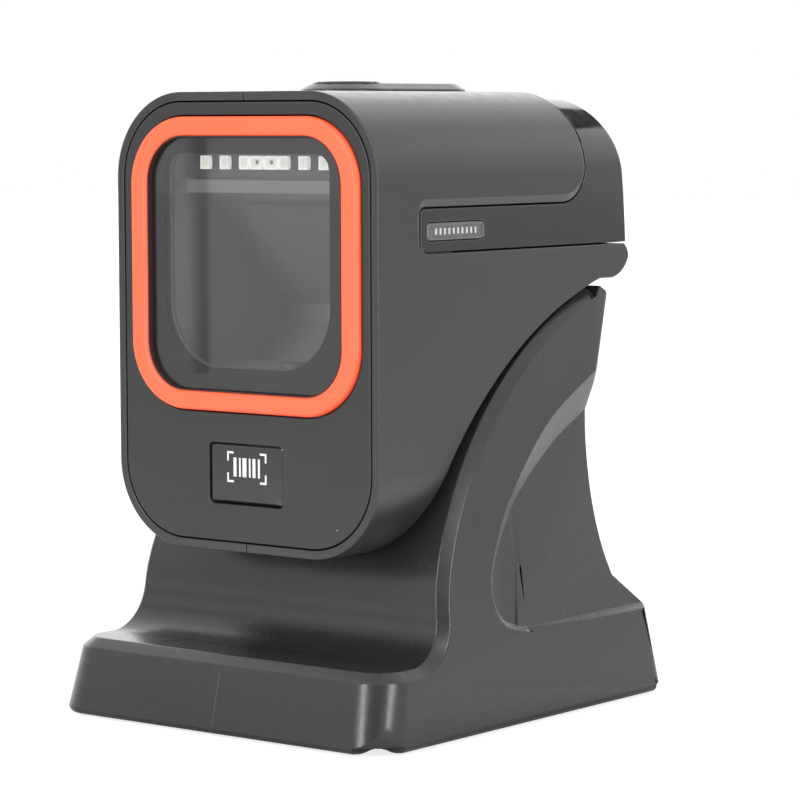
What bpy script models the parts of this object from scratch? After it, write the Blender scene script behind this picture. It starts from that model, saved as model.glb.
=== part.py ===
"""Hands-free desktop barcode scanner: a tilting scan head on a weighted, drafted base.

Every length below is in millimetres; the helpers turn it into metres where a mesh is made.
Frame: origin on the counter under the middle of the scanner, +Z up, the window faces -Y.
"""

import math

import bmesh
import bpy
from mathutils import Matrix, Vector

MM = 0.001
WELD = 0.00001
GAP = 0.3
ROUND_STEPS = 6
SIDES = 24

# Base: a tray with a swept neck, one drafted shell
BASE_HALF_WIDTH = 50.2
BASE_DRAFT = 0.111
BASE_BOTTOM = 0.4
BASE_WALL = 2.4
CAVITY_LOW = -5.0
BOTTOM_ROUND = 1.5
FRONT_FOOT = (-57.9, BASE_BOTTOM + BOTTOM_ROUND)
FRONT_LIP = (-53.9, 18.2)
TRAY_END = -41.5
TRAY_FILLET = 10.5
NECK_START = (-31.0, 29.0)
NECK_HANDLE_LOW = (-29.8, 51.0)
NECK_HANDLE_HIGH = (-2.0, 88.5)
NECK_TOP = (42.0, 100.5)
NECK_REAR_TOP = (46.5, 98.0)
NECK_REAR_WAIST_TOP = (39.8, 81.0)
NECK_REAR_HANDLE_HIGH = (33.5, 67.0)
NECK_REAR_HANDLE_LOW = (31.4, 46.0)
NECK_REAR_WAIST_LOW = (39.0, 30.5)
REAR_LIP = (50.6, 22.4)
REAR_FOOT = (54.0, BASE_BOTTOM + BOTTOM_ROUND)
FRONT_CORNER = 8.5
REAR_CORNER = 3.0
EDGE_CHAMFER = 2.2

# Scoops in the neck's sides: rim on the surface, floor below it
SCOOP_RIM = ((36.9, 80.2), (15.8, 69.3), (-1.5, 53.4), (-10.5, 39.4), (-12.2, 31.2), (-8.2, 23.8),
             (3.0, 20.9))
SCOOP_FLOOR = ((34.0, 69.8), (19.6, 63.6), (2.8, 52.2), (-7.5, 41.4), (-10.7, 33.4), (-7.4, 26.2),
               (3.0, 23.6))
SCOOP_REAR = 62.0
SCOOP_SLOPE_Y = 0.030
SCOOP_SLOPE_Z = 0.046
SCOOP_BASE_DEPTH = -0.72
SCOOP_MIN_DEPTH = 0.6

# Head: a rounded tunnel with a vertical front
HEAD_HALF_WIDTH = 39.5
HEAD_LOW = 41.0
HEAD_HIGH = 147.5
HEAD_CORNER = 20.0
HEAD_FRONT = -45.0
HEAD_REAR = 53.6
HEAD_WALL = 2.1
HEAD_OVER_NECK = 1.8
BEAK = ((46.8, 102.2), (49.2, 102.9), (51.4, 104.2), (53.0, 106.0), (53.6, 107.6), (53.0, 109.2),
        (51.8, 110.45))
BEAK_INSIDE = ((46.0, 104.6), (48.3, 105.6), (49.2, 107.2))
SPLIT_GAP = 0.15

# Glossy rear cover with a tongue along each side
COVER_INSET = 0.8
COVER_WALL = 1.8
COVER_TOP = 146.7
COVER_BACK = ((53.5, 108.0), (53.4, 112.0), (52.9, 119.0), (52.3, 125.0), (51.6, 130.0), (50.5, 135.0),
              (49.2, 139.0), (47.9, 142.0), (46.3, 144.2), (43.9, 145.7), (41.0, 146.4), (37.0, COVER_TOP))
TONGUE_FRONT = -30.2
TONGUE_LOW = 110.6
TONGUE_HIGH = 120.9
HOOD_END = 36.5
HOOD_ROUND = 9.5
TONGUE_ROUND = 1.5

# Front stack: panel, ring, window, mask, badge
PANEL = (-37.1, 37.1, 43.4, 145.1)
PANEL_CORNER = 17.6
PANEL_BACK = -42.6
RING_OUTER = (-34.4, 34.4, 73.6, 141.8)
RING_OUTER_CORNER = 16.0
RING_INNER = (-29.3, 29.3, 78.1, 137.3)
RING_INNER_CORNER = 11.0
RING_FRONT = -46.3
WINDOW_FRONT = -44.4
MASK = (-33.5, 33.5, 74.5, 140.9)
MASK_CORNER = 15.0
MASK_THICKNESS = 0.8
MASK_OPENING = (-24.7, 24.7, 83.7, 133.2)
MASK_OPENING_CORNERS = (15.0, 15.0, 4.0, 4.0)
BADGE = (-11.05, 11.05, 52.3, 66.0)
BADGE_CORNER = 1.2
BADGE_FRONT = -44.6

# Inside the head
TUNNEL_HALF_WIDTH = 31.0
TUNNEL_WALL = 1.5
TUNNEL_FRONT = -40.9
TUNNEL_LOW = 81.0
TUNNEL_HIGH = 136.0
SLOPE_TOP = (-33.5, 136.0)
SLOPE_END = (6.5, 96.5)
TUNNEL_REAR_LOW = (6.5, 90.2)
TUNNEL_FLOOR_END = -5.5
MIRROR_HALF_WIDTH = 19.5
MIRROR_HALF_LENGTH = 15.6
MIRROR_PLACE = 0.614
MIRROR_THICKNESS = 1.4
LENS_AXIS_Y = -27.0
LENS_RADIUS = 4.0
LED_PLACES = (-18.0, -12.0, -6.0, -2.2, 2.2, 6.0, 12.0, 18.0)
LED_HEIGHT = 131.1
LED_BOARD_FRONT = -35.0
LED_BOARD = ((-27.0, LED_BOARD_FRONT, 127.6), (27.0, LED_BOARD_FRONT + 1.0, 134.0))
LED_DEPTH = 1.0
LED_HALF_HEIGHT = 1.7
LED_HALF_WIDTH = 1.4
WIDE_LED_HALF_WIDTH = 1.8
SCAN_ENGINE = ((-11.0, -34.0, 67.5), (11.0, -20.0, 78.0))
MAIN_BOARD = ((-28.0, 20.0, 104.0), (28.0, 21.6, 140.0))
BUZZER_RADIUS = 6.0
BUZZER_DEPTH = (21.9, 26.9)
BUZZER_PLACE = (-14.0, 118.0)
BUTTON_BOARD = ((-9.0, -16.0, 138.6), (9.0, 2.0, 140.2))
SWITCH_HALF_WIDTH = 3.0
SWITCH_HEIGHT = (140.5, 143.1)

# Light bar in each tongue: low y, high y, low z, high z
STATUS_LENS = (-27.5, -5.8, 113.7, 117.8)
STATUS_LENS_CORNER = 1.2
STATUS_LENS_DEPTH = (36.9, 38.9)
STATUS_BOARD_LOW = (35.0, -28.5, 111.5)
STATUS_BOARD_HIGH = (36.2, -4.8, 120.0)

# Tilt hinge between neck and head
HINGE = (0.0, 33.0, 90.0)
PIN_RADIUS = 2.0
PIN_CLEARANCE = 0.1
PIN_HALF_LENGTH = 22.5
EAR_INNER = 12.5
EAR_OUTER = 15.5
EAR_RADIUS = 4.3
CRADLE_HALF_WIDTH = 20.3
CRADLE_HALF_DEPTH = 3.9
CRADLE_LOW = 82.0
BRACKET_LOW = 105.0
BRACKET_HIGH = 107.0
BRACKET_PLATE = (-24.0, 24.0, 26.5, 40.5)
BRACKET_SCREWS = ((-20.0, 29.5), (-20.0, 37.5), (20.0, 29.5), (20.0, 37.5))
FRONT_SCREW_TIP = 99.6
REAR_SCREW_TIP = 102.4

# Raised pad on the head with a round button at its front end
PAD_HALF_WIDTH = 11.0
PAD_FRONT = -18.2
PAD_REAR = 32.2
PAD_TOP = 149.5
PAD_CHAMFER = 1.2
BUTTON_Y = -7.2
BUTTON_RADIUS = 8.5
BUTTON_TOP = 150.0
BUTTON_STEM_RADIUS = 2.5
BUTTON_STEM_LOW = 144.3
BUTTON_CAP_LOW = 145.9
BUTTON_CROWN = 0.5

# Underside
BASE_SCREWS = ((-40.0, -46.0), (40.0, -46.0), (-40.0, 44.0), (40.0, 44.0))
BOSS_RADIUS = 3.4
SCREW_HOLE = 1.7
SCREW_SHANK = 1.4
FEET = ((-37.0, -34.0), (37.0, -34.0), (-37.0, 30.0), (37.0, 30.0))
FOOT_RADIUS = 6.5
FOOT_HEIGHT = 1.3
PLATE_LOW = 1.6
PLATE_HIGH = 3.4
PLATE_FRONT = -54.4
PLATE_REAR = 50.6
PLATE_CORNERS = (7.2, 7.2, 1.0, 1.0)
BALLAST = (-33.0, 33.0, -49.0, -8.0)
BALLAST_HEIGHT = (4.2, 12.2)
FRONT_BOSS_TOP = 17.0
REAR_BOSS_TOP = 22.0

# Cable socket in the rear wall
JACK_HALF_WIDTH = 8.0
JACK_FRONT = 35.0
JACK_REAR = 56.2
JACK_LOW = 6.1
JACK_HIGH = 18.5
SOCKET_HALF_WIDTH = 5.9
SOCKET_LOW = 8.2
SOCKET_HIGH = 15.2
SOCKET_DEPTH = 18.2
LATCH_HALF_WIDTH = 3.1
LATCH_HIGH = 16.8
INTERFACE_BOARD = ((-18.0, 8.0, 4.2), (18.0, 50.0, 5.8))

# name: colour, roughness, metallic
FINISHES = {
    "textured_plastic": ((0.075, 0.075, 0.077), 0.55, 0.0),
    "gloss_plastic": ((0.045, 0.045, 0.047), 0.18, 0.0),
    "panel_plastic": ((0.055, 0.055, 0.056), 0.42, 0.0),
    "orange_plastic": ((0.90, 0.16, 0.06), 0.38, 0.0),
    "dark_glass": ((0.05, 0.05, 0.055), 0.05, 0.0),
    "black_print": ((0.01, 0.01, 0.01), 0.3, 0.0),
    "grey_plastic": ((0.16, 0.16, 0.16), 0.5, 0.0),
    "mirror_glass": ((0.80, 0.80, 0.80), 0.03, 1.0),
    "circuit_board": ((0.02, 0.10, 0.05), 0.4, 0.0),
    "light_plastic": ((0.85, 0.83, 0.76), 0.35, 0.0),
    "frosted_lens": ((0.55, 0.55, 0.55), 0.4, 0.0),
    "steel": ((0.50, 0.50, 0.51), 0.3, 1.0),
    "rubber": ((0.03, 0.03, 0.03), 0.85, 0.0),
    "lens_glass": ((0.05, 0.05, 0.08), 0.05, 0.0),
}

# A plane's matrix turns an outline's x, y and thickness into the scanner's X, Y and Z
PLANES = {
    "XY": Matrix(((1, 0, 0), (0, 1, 0), (0, 0, 1))),
    "XZ": Matrix(((1, 0, 0), (0, 0, -1), (0, 1, 0))),
    "YZ": Matrix(((0, 0, 1), (1, 0, 0), (0, 1, 0))),
}


# ---------------------------------------------------------------- outlines

def arc(centre, radius, start, end, steps=ROUND_STEPS):
    """Points on an arc, with angles in degrees."""
    angles = (math.radians(start + (end - start) * i / steps) for i in range(steps + 1))
    return [(centre[0] + radius * math.cos(a), centre[1] + radius * math.sin(a)) for a in angles]


def bezier(start, handle_a, handle_b, end, steps):
    """Points on a cubic curve between two places."""
    points = []
    for i in range(steps + 1):
        t = i / steps
        weights = ((1 - t) ** 3, 3 * t * (1 - t) ** 2, 3 * t * t * (1 - t), t ** 3)
        corners = (start, handle_a, handle_b, end)
        points.append(tuple(sum(w * c[k] for w, c in zip(weights, corners)) for k in range(2)))
    return points


def smooth(points, steps=3):
    """An open Catmull-Rom curve through the points."""
    ends = [points[0], *points, points[-1]]
    out = []
    for a, b, c, d in zip(ends, ends[1:], ends[2:], ends[3:]):
        for i in range(steps):
            t = i / steps
            out.append(tuple(
                0.5 * (2 * b[k] + (c[k] - a[k]) * t + (2 * a[k] - 5 * b[k] + 4 * c[k] - d[k]) * t * t
                       + (3 * b[k] - a[k] - 3 * c[k] + d[k]) * t ** 3)
                for k in range(2)))
    out.append(tuple(points[-1]))
    return out


def rounded_box(box, corners, steps=ROUND_STEPS):
    """A rectangle whose corners are rounded: one radius, or four from low left round to high left."""
    low_x, high_x, low_y, high_y = box
    radii = corners if isinstance(corners, tuple) else (corners,) * 4
    places = (
        (low_x + radii[0], low_y + radii[0], 180),
        (high_x - radii[1], low_y + radii[1], 270),
        (high_x - radii[2], high_y - radii[2], 0),
        (low_x + radii[3], high_y - radii[3], 90),
    )
    points = []
    for (x, y, start), radius in zip(places, radii):
        points += arc((x, y), radius, start, start + 90, steps) if radius else [(x, y)]
    return points


def grown(box, by):
    """A low x, high x, low y, high y box with every side moved out."""
    return (box[0] - by, box[1] + by, box[2] - by, box[3] + by)


def offset_path(points, distance):
    """An open path moved sideways; positive is to the left of its direction."""
    out = []
    for i, point in enumerate(points):
        before = Vector(points[max(i - 1, 0)])
        after = Vector(points[min(i + 1, len(points) - 1)])
        here = Vector(point)
        normals = []
        for a, b in ((before, here), (here, after)):
            step = b - a
            if step.length > 0:
                normals.append(Vector((-step.y, step.x)).normalized())
        mean = sum(normals, Vector((0.0, 0.0))).normalized()
        reach = distance / max(mean.dot(normals[0]), 0.5)
        out.append(tuple(here + mean * reach))
    return out


# ---------------------------------------------------------------- objects

def material(name):
    """The Principled material of a finish, made once."""
    if name in bpy.data.materials:
        return bpy.data.materials[name]
    colour, roughness, metallic = FINISHES[name]
    made = bpy.data.materials.new(name)
    made.use_nodes = True
    shader = made.node_tree.nodes["Principled BSDF"]
    shader.inputs["Base Color"].default_value = (*colour, 1.0)
    shader.inputs["Roughness"].default_value = roughness
    shader.inputs["Metallic"].default_value = metallic
    made.diffuse_color = (*colour, 1.0)
    return made


def collection(name):
    """A collection in the scene, made once."""
    if name not in bpy.data.collections:
        bpy.context.scene.collection.children.link(bpy.data.collections.new(name))
    return bpy.data.collections[name]


def part(name, mesh, finish, parent=None, location=(0.0, 0.0, 0.0)):
    """A sub-part of the scanner: one object with its own finish."""
    made = bpy.data.objects.new(name, mesh)
    collection("barcode_scanner").objects.link(made)
    mesh.materials.clear()
    mesh.materials.append(material(finish))
    made.location = Vector(location) * MM
    if parent:
        made.parent = parent
        made.matrix_parent_inverse = parent.matrix_world.inverted()
    return made


def cutter(name, mesh):
    """A helper solid that cuts or joins and isn't a part."""
    made = bpy.data.objects.new(name, mesh)
    collection("cutters").objects.link(made)
    made.hide_render = True
    made.display_type = "WIRE"
    return made


def boolean(target, tool, operation="DIFFERENCE"):
    """Cut, join or keep a target with another solid."""
    modifier = target.modifiers.new(tool.name, "BOOLEAN")
    modifier.operation = operation
    modifier.solver = "EXACT"
    modifier.object = tool


def finish_mesh(bm, name, smooth_angle=35):
    """A mesh from a bmesh, faces out and round stretches smooth."""
    bmesh.ops.recalc_face_normals(bm, faces=bm.faces)
    if bm.calc_volume(signed=True) < 0:
        bmesh.ops.reverse_faces(bm, faces=bm.faces)
    mesh = bpy.data.meshes.new(name)
    bm.to_mesh(mesh)
    bm.free()
    mesh.shade_smooth()
    mesh.set_sharp_from_angle(angle=math.radians(smooth_angle))
    return mesh


def outline_bmesh(loops, plane, low, high):
    """A flat outline, with holes after the first loop, as a plate between two heights."""
    curve = bpy.data.curves.new("outline", "CURVE")
    curve.dimensions = "2D"
    curve.fill_mode = "BOTH"
    curve.extrude = (high - low) / 2 * MM
    for loop in loops:
        spline = curve.splines.new("POLY")
        spline.points.add(len(loop) - 1)
        for point, (x, y) in zip(spline.points, loop):
            point.co = (x * MM, y * MM, 0.0, 1.0)
        spline.use_cyclic_u = True
    holder = bpy.data.objects.new("outline", curve)
    bpy.context.scene.collection.objects.link(holder)
    evaluated = holder.evaluated_get(bpy.context.evaluated_depsgraph_get())
    flat = bpy.data.meshes.new_from_object(evaluated)
    bpy.data.objects.remove(holder)
    bpy.data.curves.remove(curve)
    bm = bmesh.new()
    bm.from_mesh(flat)
    bpy.data.meshes.remove(flat)
    bmesh.ops.remove_doubles(bm, verts=bm.verts, dist=WELD)
    turn = PLANES[plane]
    middle = (low + high) / 2 * MM
    shift = turn @ Vector((0.0, 0.0, -middle if plane == "XZ" else middle))
    bmesh.ops.transform(bm, matrix=Matrix.Translation(shift) @ turn.to_4x4(), verts=bm.verts)
    return bm


def outline_mesh(name, loops, plane, low, high):
    """A plate's mesh from its outline."""
    return finish_mesh(outline_bmesh(loops, plane, low, high), name)


def box_mesh(name, low, high):
    """A box between two corners."""
    bm = bmesh.new()
    bmesh.ops.create_cube(bm, size=1.0)
    size = [(b - a) * MM for a, b in zip(low, high)]
    middle = [(a + b) / 2 * MM for a, b in zip(low, high)]
    bmesh.ops.scale(bm, vec=size, verts=bm.verts)
    bmesh.ops.translate(bm, vec=middle, verts=bm.verts)
    return finish_mesh(bm, name)


def cylinder_mesh(name, radius, low, high, axis="Z", at=(0.0, 0.0), top_radius=None, sides=SIDES):
    """A cylinder or cone along an axis; at is its place on the other two axes, in X, Y, Z order."""
    bm = bmesh.new()
    tip = radius if top_radius is None else top_radius
    bmesh.ops.create_cone(bm, cap_ends=True, segments=sides, radius1=radius * MM, radius2=tip * MM,
                          depth=(high - low) * MM)
    middle = (low + high) / 2
    if axis == "X":
        turn = Matrix.Rotation(math.radians(90), 4, "Y")
        place = (middle, at[0], at[1])
    elif axis == "Y":
        turn = Matrix.Rotation(math.radians(-90), 4, "X")
        place = (at[0], middle, at[1])
    else:
        turn = Matrix.Identity(4)
        place = (at[0], at[1], middle)
    bmesh.ops.transform(bm, matrix=Matrix.Translation(Vector(place) * MM) @ turn, verts=bm.verts)
    return finish_mesh(bm, name)


def ring_mesh(name, radius, hole, low, high, plane, at):
    """A flat ring, such as a washer."""
    loops = [arc(at, r, 0, 360 - 360 / SIDES, SIDES - 1) for r in (radius, hole)]
    return outline_mesh(name, loops, plane, low, high)


# ---------------------------------------------------------------- base

def side_x(z, inset=0.0):
    """Half the base's width at a height."""
    return BASE_HALF_WIDTH - inset - BASE_DRAFT * z


def neck_curve():
    """The neck's swept front, from the tray's fillet to the top."""
    return bezier(NECK_START, NECK_HANDLE_LOW, NECK_HANDLE_HIGH, NECK_TOP, 14)


def base_top_path():
    """The surface seen from the front: lip, tray, fillet and neck."""
    fillet = arc((TRAY_END, FRONT_LIP[1] + TRAY_FILLET), TRAY_FILLET, -90, -4, 6)
    return [FRONT_LIP, *fillet, *neck_curve()]


def base_rear_path():
    """The neck's back and the base's rear wall, top to bottom."""
    waist = bezier(NECK_REAR_WAIST_TOP, NECK_REAR_HANDLE_HIGH, NECK_REAR_HANDLE_LOW, NECK_REAR_WAIST_LOW, 6)
    return [NECK_REAR_TOP, *waist, REAR_LIP, REAR_FOOT]


def same_place(vert, place):
    """Whether a vertex lies on a profile point, seen from the side."""
    return math.hypot(vert.co.y - place[0] * MM, vert.co.z - place[1] * MM) < 2 * WELD


def profile_edges(bm, path):
    """Edges of the two side faces that run along a stretch of the profile."""
    found = []
    for edge in bm.edges:
        a, b = edge.verts
        if a.co.x * b.co.x < 0:
            continue
        for start, end in zip(path, path[1:]):
            if (same_place(a, start) and same_place(b, end)) or (same_place(a, end) and same_place(b, start)):
                found.append(edge)
    return found


def drafted_block(inset):
    """The base's outer block, or its cavity when inset, which reaches down through the bottom."""
    top = base_top_path()
    rear = base_rear_path()
    path = offset_path([FRONT_FOOT, *top, *rear], -inset) if inset else [FRONT_FOOT, *top, *rear]
    front = path[:2]
    back = path[1 + len(top):]
    if inset:
        path = [(path[0][0], CAVITY_LOW), *path, (path[-1][0], CAVITY_LOW)]
        front = path[:3]
    bm = outline_bmesh([path], "YZ", -1.0, 1.0)
    for vert in bm.verts:
        vert.co.x = math.copysign(side_x(vert.co.z / MM, inset) * MM, vert.co.x)
    bmesh.ops.dissolve_limit(bm, angle_limit=math.radians(1), verts=bm.verts, edges=bm.edges)
    bmesh.ops.bevel(bm, geom=profile_edges(bm, front), offset=(FRONT_CORNER - inset) * MM, segments=5,
                    profile=0.5, affect="EDGES")
    if not inset:
        bmesh.ops.bevel(bm, geom=profile_edges(bm, back), offset=REAR_CORNER * MM, segments=2,
                        profile=0.5, affect="EDGES")
        chamfer_top(bm)
        round_bottom(bm)
    return bm


def round_bottom(bm):
    """The quarter round under the base's edge, in equal steps."""
    steps = 3
    bm.normal_update()
    floor = min(bm.faces, key=lambda f: f.calc_center_median().z)
    for i in range(steps):
        before, after = (math.radians(90 * k / steps) for k in (i, i + 1))
        inward = BOTTOM_ROUND * MM * (math.cos(before) - math.cos(after))
        down = BOTTOM_ROUND * MM * (math.sin(after) - math.sin(before))
        bmesh.ops.inset_region(bm, faces=[floor], thickness=inward, depth=down, use_even_offset=True)


def chamfer_top(bm):
    """The flat chamfer round the tray's edge and up the neck's front."""
    bm.normal_update()
    rim = []
    for edge in bm.edges:
        if len(edge.link_faces) != 2 or max(v.co.y for v in edge.verts) > (NECK_TOP[0] - 0.5) * MM:
            continue
        if min(v.co.z for v in edge.verts) < (FRONT_LIP[1] - 1.0) * MM:
            continue
        facing = [abs(f.normal.x) for f in edge.link_faces]
        front_top = all(abs(v.co.y - FRONT_LIP[0] * MM) < FRONT_CORNER * MM for v in edge.verts)
        if (max(facing) > 0.5 and min(facing) < 0.1) or (front_top and edge.calc_face_angle(0) > 0.9):
            rim.append(edge)
    bmesh.ops.bevel(bm, geom=rim, offset=EDGE_CHAMFER * MM, segments=1, profile=0.5, affect="EDGES")


def scoop_mesh(side, name):
    """A solid that cuts one side's scoop: its rim lies on the drafted side, its floor is flat."""
    rim = [*smooth(SCOOP_RIM), (SCOOP_REAR, SCOOP_RIM[-1][1]), (SCOOP_REAR, SCOOP_RIM[0][1] + 11.0)]
    floor = [*smooth(SCOOP_FLOOR), (SCOOP_REAR, SCOOP_FLOOR[-1][1]), (SCOOP_REAR, SCOOP_FLOOR[0][1] + 12.0)]
    bm = bmesh.new()
    outer = []
    inner = []
    for (rim_y, rim_z), (floor_y, floor_z) in zip(rim, floor):
        depth = max(SCOOP_BASE_DEPTH + SCOOP_SLOPE_Y * floor_y + SCOOP_SLOPE_Z * floor_z, SCOOP_MIN_DEPTH)
        inside = Vector((side_x(floor_z, depth), floor_y, floor_z))
        surface = Vector((side_x(rim_z), rim_y, rim_z))
        outside = surface + (surface - inside) * (1.0 / depth)
        for point, ring in ((outside, outer), (inside, inner)):
            ring.append(bm.verts.new((side * point.x * MM, point.y * MM, point.z * MM)))
    count = len(outer)
    bm.faces.new(outer)
    bm.faces.new(reversed(inner))
    for i in range(count):
        j = (i + 1) % count
        bm.faces.new((outer[i], inner[i], inner[j], outer[j]))
    bmesh.ops.triangulate(bm, faces=bm.faces)
    return finish_mesh(bm, name)


def scoop_backing_mesh(side, name):
    """Material left behind a scoop, so that the wall keeps its thickness there."""
    grow = 3.0
    outline = offset_path([*smooth(SCOOP_RIM, 2), (SCOOP_REAR, SCOOP_RIM[-1][1])], -grow)
    outline.append((SCOOP_REAR, SCOOP_RIM[0][1] + 14.0))
    bm = outline_bmesh([outline], "YZ", -1.0, 1.0)
    for vert in bm.verts:
        depth = SCOOP_BASE_DEPTH + SCOOP_SLOPE_Y * vert.co.y / MM + SCOOP_SLOPE_Z * vert.co.z / MM
        shift = -BASE_WALL - max(depth, SCOOP_MIN_DEPTH) if vert.co.x < 0 else 5.0
        vert.co.x = side * (side_x(vert.co.z / MM) + shift) * MM
    return finish_mesh(bm, name)


def build_base_shell():
    """The tray and neck as one hollow shell, open below."""
    shell = part("base_shell", finish_mesh(drafted_block(0.0), "base_shell"), "textured_plastic")
    cavity = cutter("base_cavity", finish_mesh(drafted_block(BASE_WALL), "base_cavity"))
    for side, label in ((1, "right"), (-1, "left")):
        backing = f"scoop_backing_{label}"
        boolean(cavity, cutter(backing, scoop_backing_mesh(side, backing)))
    boolean(shell, cavity)
    for i, (x, y) in enumerate(BASE_SCREWS):
        top = FRONT_BOSS_TOP if y < 0 else REAR_BOSS_TOP
        boss = cutter(f"boss_{i}", cylinder_mesh("boss", BOSS_RADIUS, PLATE_HIGH + GAP, top, at=(x, y)))
        boolean(shell, boss, "UNION")
        hole = cylinder_mesh("hole", SCREW_HOLE, 2.0, top - 3.0, at=(x, y), sides=12)
        boolean(shell, cutter(f"boss_hole_{i}", hole))
    for side, label in ((1, "right"), (-1, "left")):
        boolean(shell, cutter(f"scoop_{label}", scoop_mesh(side, f"scoop_{label}")))
        slot = box_mesh("slot", (side * (EAR_INNER - 0.7), 27.5, 92.0),
                        (side * (EAR_OUTER + 0.7), 41.0, 104.0))
        boolean(shell, cutter(f"ear_slot_{label}", slot))
    gate = box_mesh("gate", (-JACK_HALF_WIDTH - GAP, 44.0, JACK_LOW - GAP),
                    (JACK_HALF_WIDTH + GAP, 60.0, JACK_HIGH + GAP))
    boolean(shell, cutter("jack_gate", gate))


def build_underside():
    """Bottom plate, weight, feet and screws."""
    half = side_x(PLATE_HIGH, BASE_WALL + GAP)
    outline = rounded_box((-half, half, PLATE_FRONT, PLATE_REAR), PLATE_CORNERS, 4)
    holes = [arc(place, SCREW_HOLE, 0, 330, 11) for place in BASE_SCREWS]
    plate = outline_mesh("base_bottom_plate", [outline, *holes], "XY", PLATE_LOW, PLATE_HIGH)
    part("base_bottom_plate", plate, "textured_plastic")
    weight = rounded_box(BALLAST, 3.0, 2)
    part("ballast_weight", outline_mesh("ballast_weight", [weight], "XY", *BALLAST_HEIGHT), "steel")
    foot = cylinder_mesh("rubber_foot", FOOT_RADIUS - 0.4, 0.0, FOOT_HEIGHT, top_radius=FOOT_RADIUS)
    screw = screw_mesh("base_screw", 0.4, 1.4, 10.0)
    for i, (x, y) in enumerate(FEET, 1):
        part(f"rubber_foot_{i}", foot, "rubber", location=(x, y, 0.0))
    for i, (x, y) in enumerate(BASE_SCREWS, 1):
        part(f"base_screw_{i}", screw, "steel", location=(x, y, 0.0))


def screw_mesh(name, head_start, head_end, tip):
    """A turned pan-head screw along Z; its tip may be above or below its head."""
    inset = 0.2
    head = 2.8
    profile = [(0.0, head_start), (head - inset, head_start), (head, head_end), (SCREW_SHANK, head_end),
               (SCREW_SHANK, tip), (0.0, tip)]
    bm = bmesh.new()
    verts = [bm.verts.new((x * MM, 0.0, z * MM)) for x, z in profile]
    edges = [bm.edges.new(pair) for pair in zip(verts, verts[1:])]
    bmesh.ops.spin(bm, geom=verts + edges, cent=(0, 0, 0), axis=(0, 0, 1), angle=math.tau, steps=12,
                   use_duplicate=False)
    bmesh.ops.remove_doubles(bm, verts=bm.verts, dist=WELD)
    return finish_mesh(bm, name)


def build_socket():
    """Interface board and the cable socket on it, facing the rear."""
    part("interface_board", box_mesh("interface_board", *INTERFACE_BOARD), "circuit_board")
    jack = part("cable_jack", box_mesh("cable_jack", (-JACK_HALF_WIDTH, JACK_FRONT, JACK_LOW),
                                       (JACK_HALF_WIDTH, JACK_REAR, JACK_HIGH)), "grey_plastic")
    outline = [(-SOCKET_HALF_WIDTH, SOCKET_LOW), (SOCKET_HALF_WIDTH, SOCKET_LOW),
               (SOCKET_HALF_WIDTH, SOCKET_HIGH), (LATCH_HALF_WIDTH, SOCKET_HIGH),
               (LATCH_HALF_WIDTH, LATCH_HIGH), (-LATCH_HALF_WIDTH, LATCH_HIGH),
               (-LATCH_HALF_WIDTH, SOCKET_HIGH), (-SOCKET_HALF_WIDTH, SOCKET_HIGH)]
    mouth = outline_mesh("socket", [outline], "XZ", JACK_REAR - SOCKET_DEPTH, JACK_REAR + 2.0)
    boolean(jack, cutter("socket", mouth))


# ---------------------------------------------------------------- hinge

def ear_outline(radius, top):
    """A lug rounded about the hinge's axis, in side view."""
    return [*arc(HINGE[1:], radius, 180, 360, 8), (HINGE[1] + radius, top), (HINGE[1] - radius, top)]


def build_hinge():
    """Pin, cradle, clips and friction washers, which stay with the neck."""
    round_top = [(HINGE[1] - CRADLE_HALF_DEPTH, CRADLE_LOW), (HINGE[1] + CRADLE_HALF_DEPTH, CRADLE_LOW),
                 *arc(HINGE[1:], CRADLE_HALF_DEPTH, 0, 180, 8)]
    bore = arc(HINGE[1:], PIN_RADIUS + PIN_CLEARANCE, 0, 360 - 360 / SIDES, SIDES - 1)
    cradle = part("hinge_cradle", outline_mesh("hinge_cradle", [round_top, bore], "YZ", -CRADLE_HALF_WIDTH,
                                               CRADLE_HALF_WIDTH), "grey_plastic")
    for side, label in ((1, "right"), (-1, "left")):
        low = HINGE[2] - EAR_RADIUS - 0.8
        slot = box_mesh("slot", (side * (EAR_INNER - 0.4), 20.0, low), (side * (EAR_OUTER + 1.2), 50.0, 99.0))
        boolean(cradle, cutter(f"cradle_slot_{label}", slot))
        bore = PIN_RADIUS + PIN_CLEARANCE
        faces = sorted((side * (EAR_OUTER + GAP), side * (EAR_OUTER + GAP + 0.6)))
        washer = ring_mesh("friction_washer", CRADLE_HALF_DEPTH, bore, *faces, "YZ", HINGE[1:])
        part(f"friction_washer_{label}", washer, "rubber")
        faces = sorted((side * (CRADLE_HALF_WIDTH + GAP), side * (CRADLE_HALF_WIDTH + GAP + 0.8)))
        clip = ring_mesh("pin_clip", 3.6, bore, *faces, "YZ", HINGE[1:])
        part(f"pin_clip_{label}", clip, "steel")
    pin = cylinder_mesh("hinge_pin", PIN_RADIUS, -PIN_HALF_LENGTH, PIN_HALF_LENGTH, "X", HINGE[1:])
    part("hinge_pin", pin, "steel")


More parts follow.
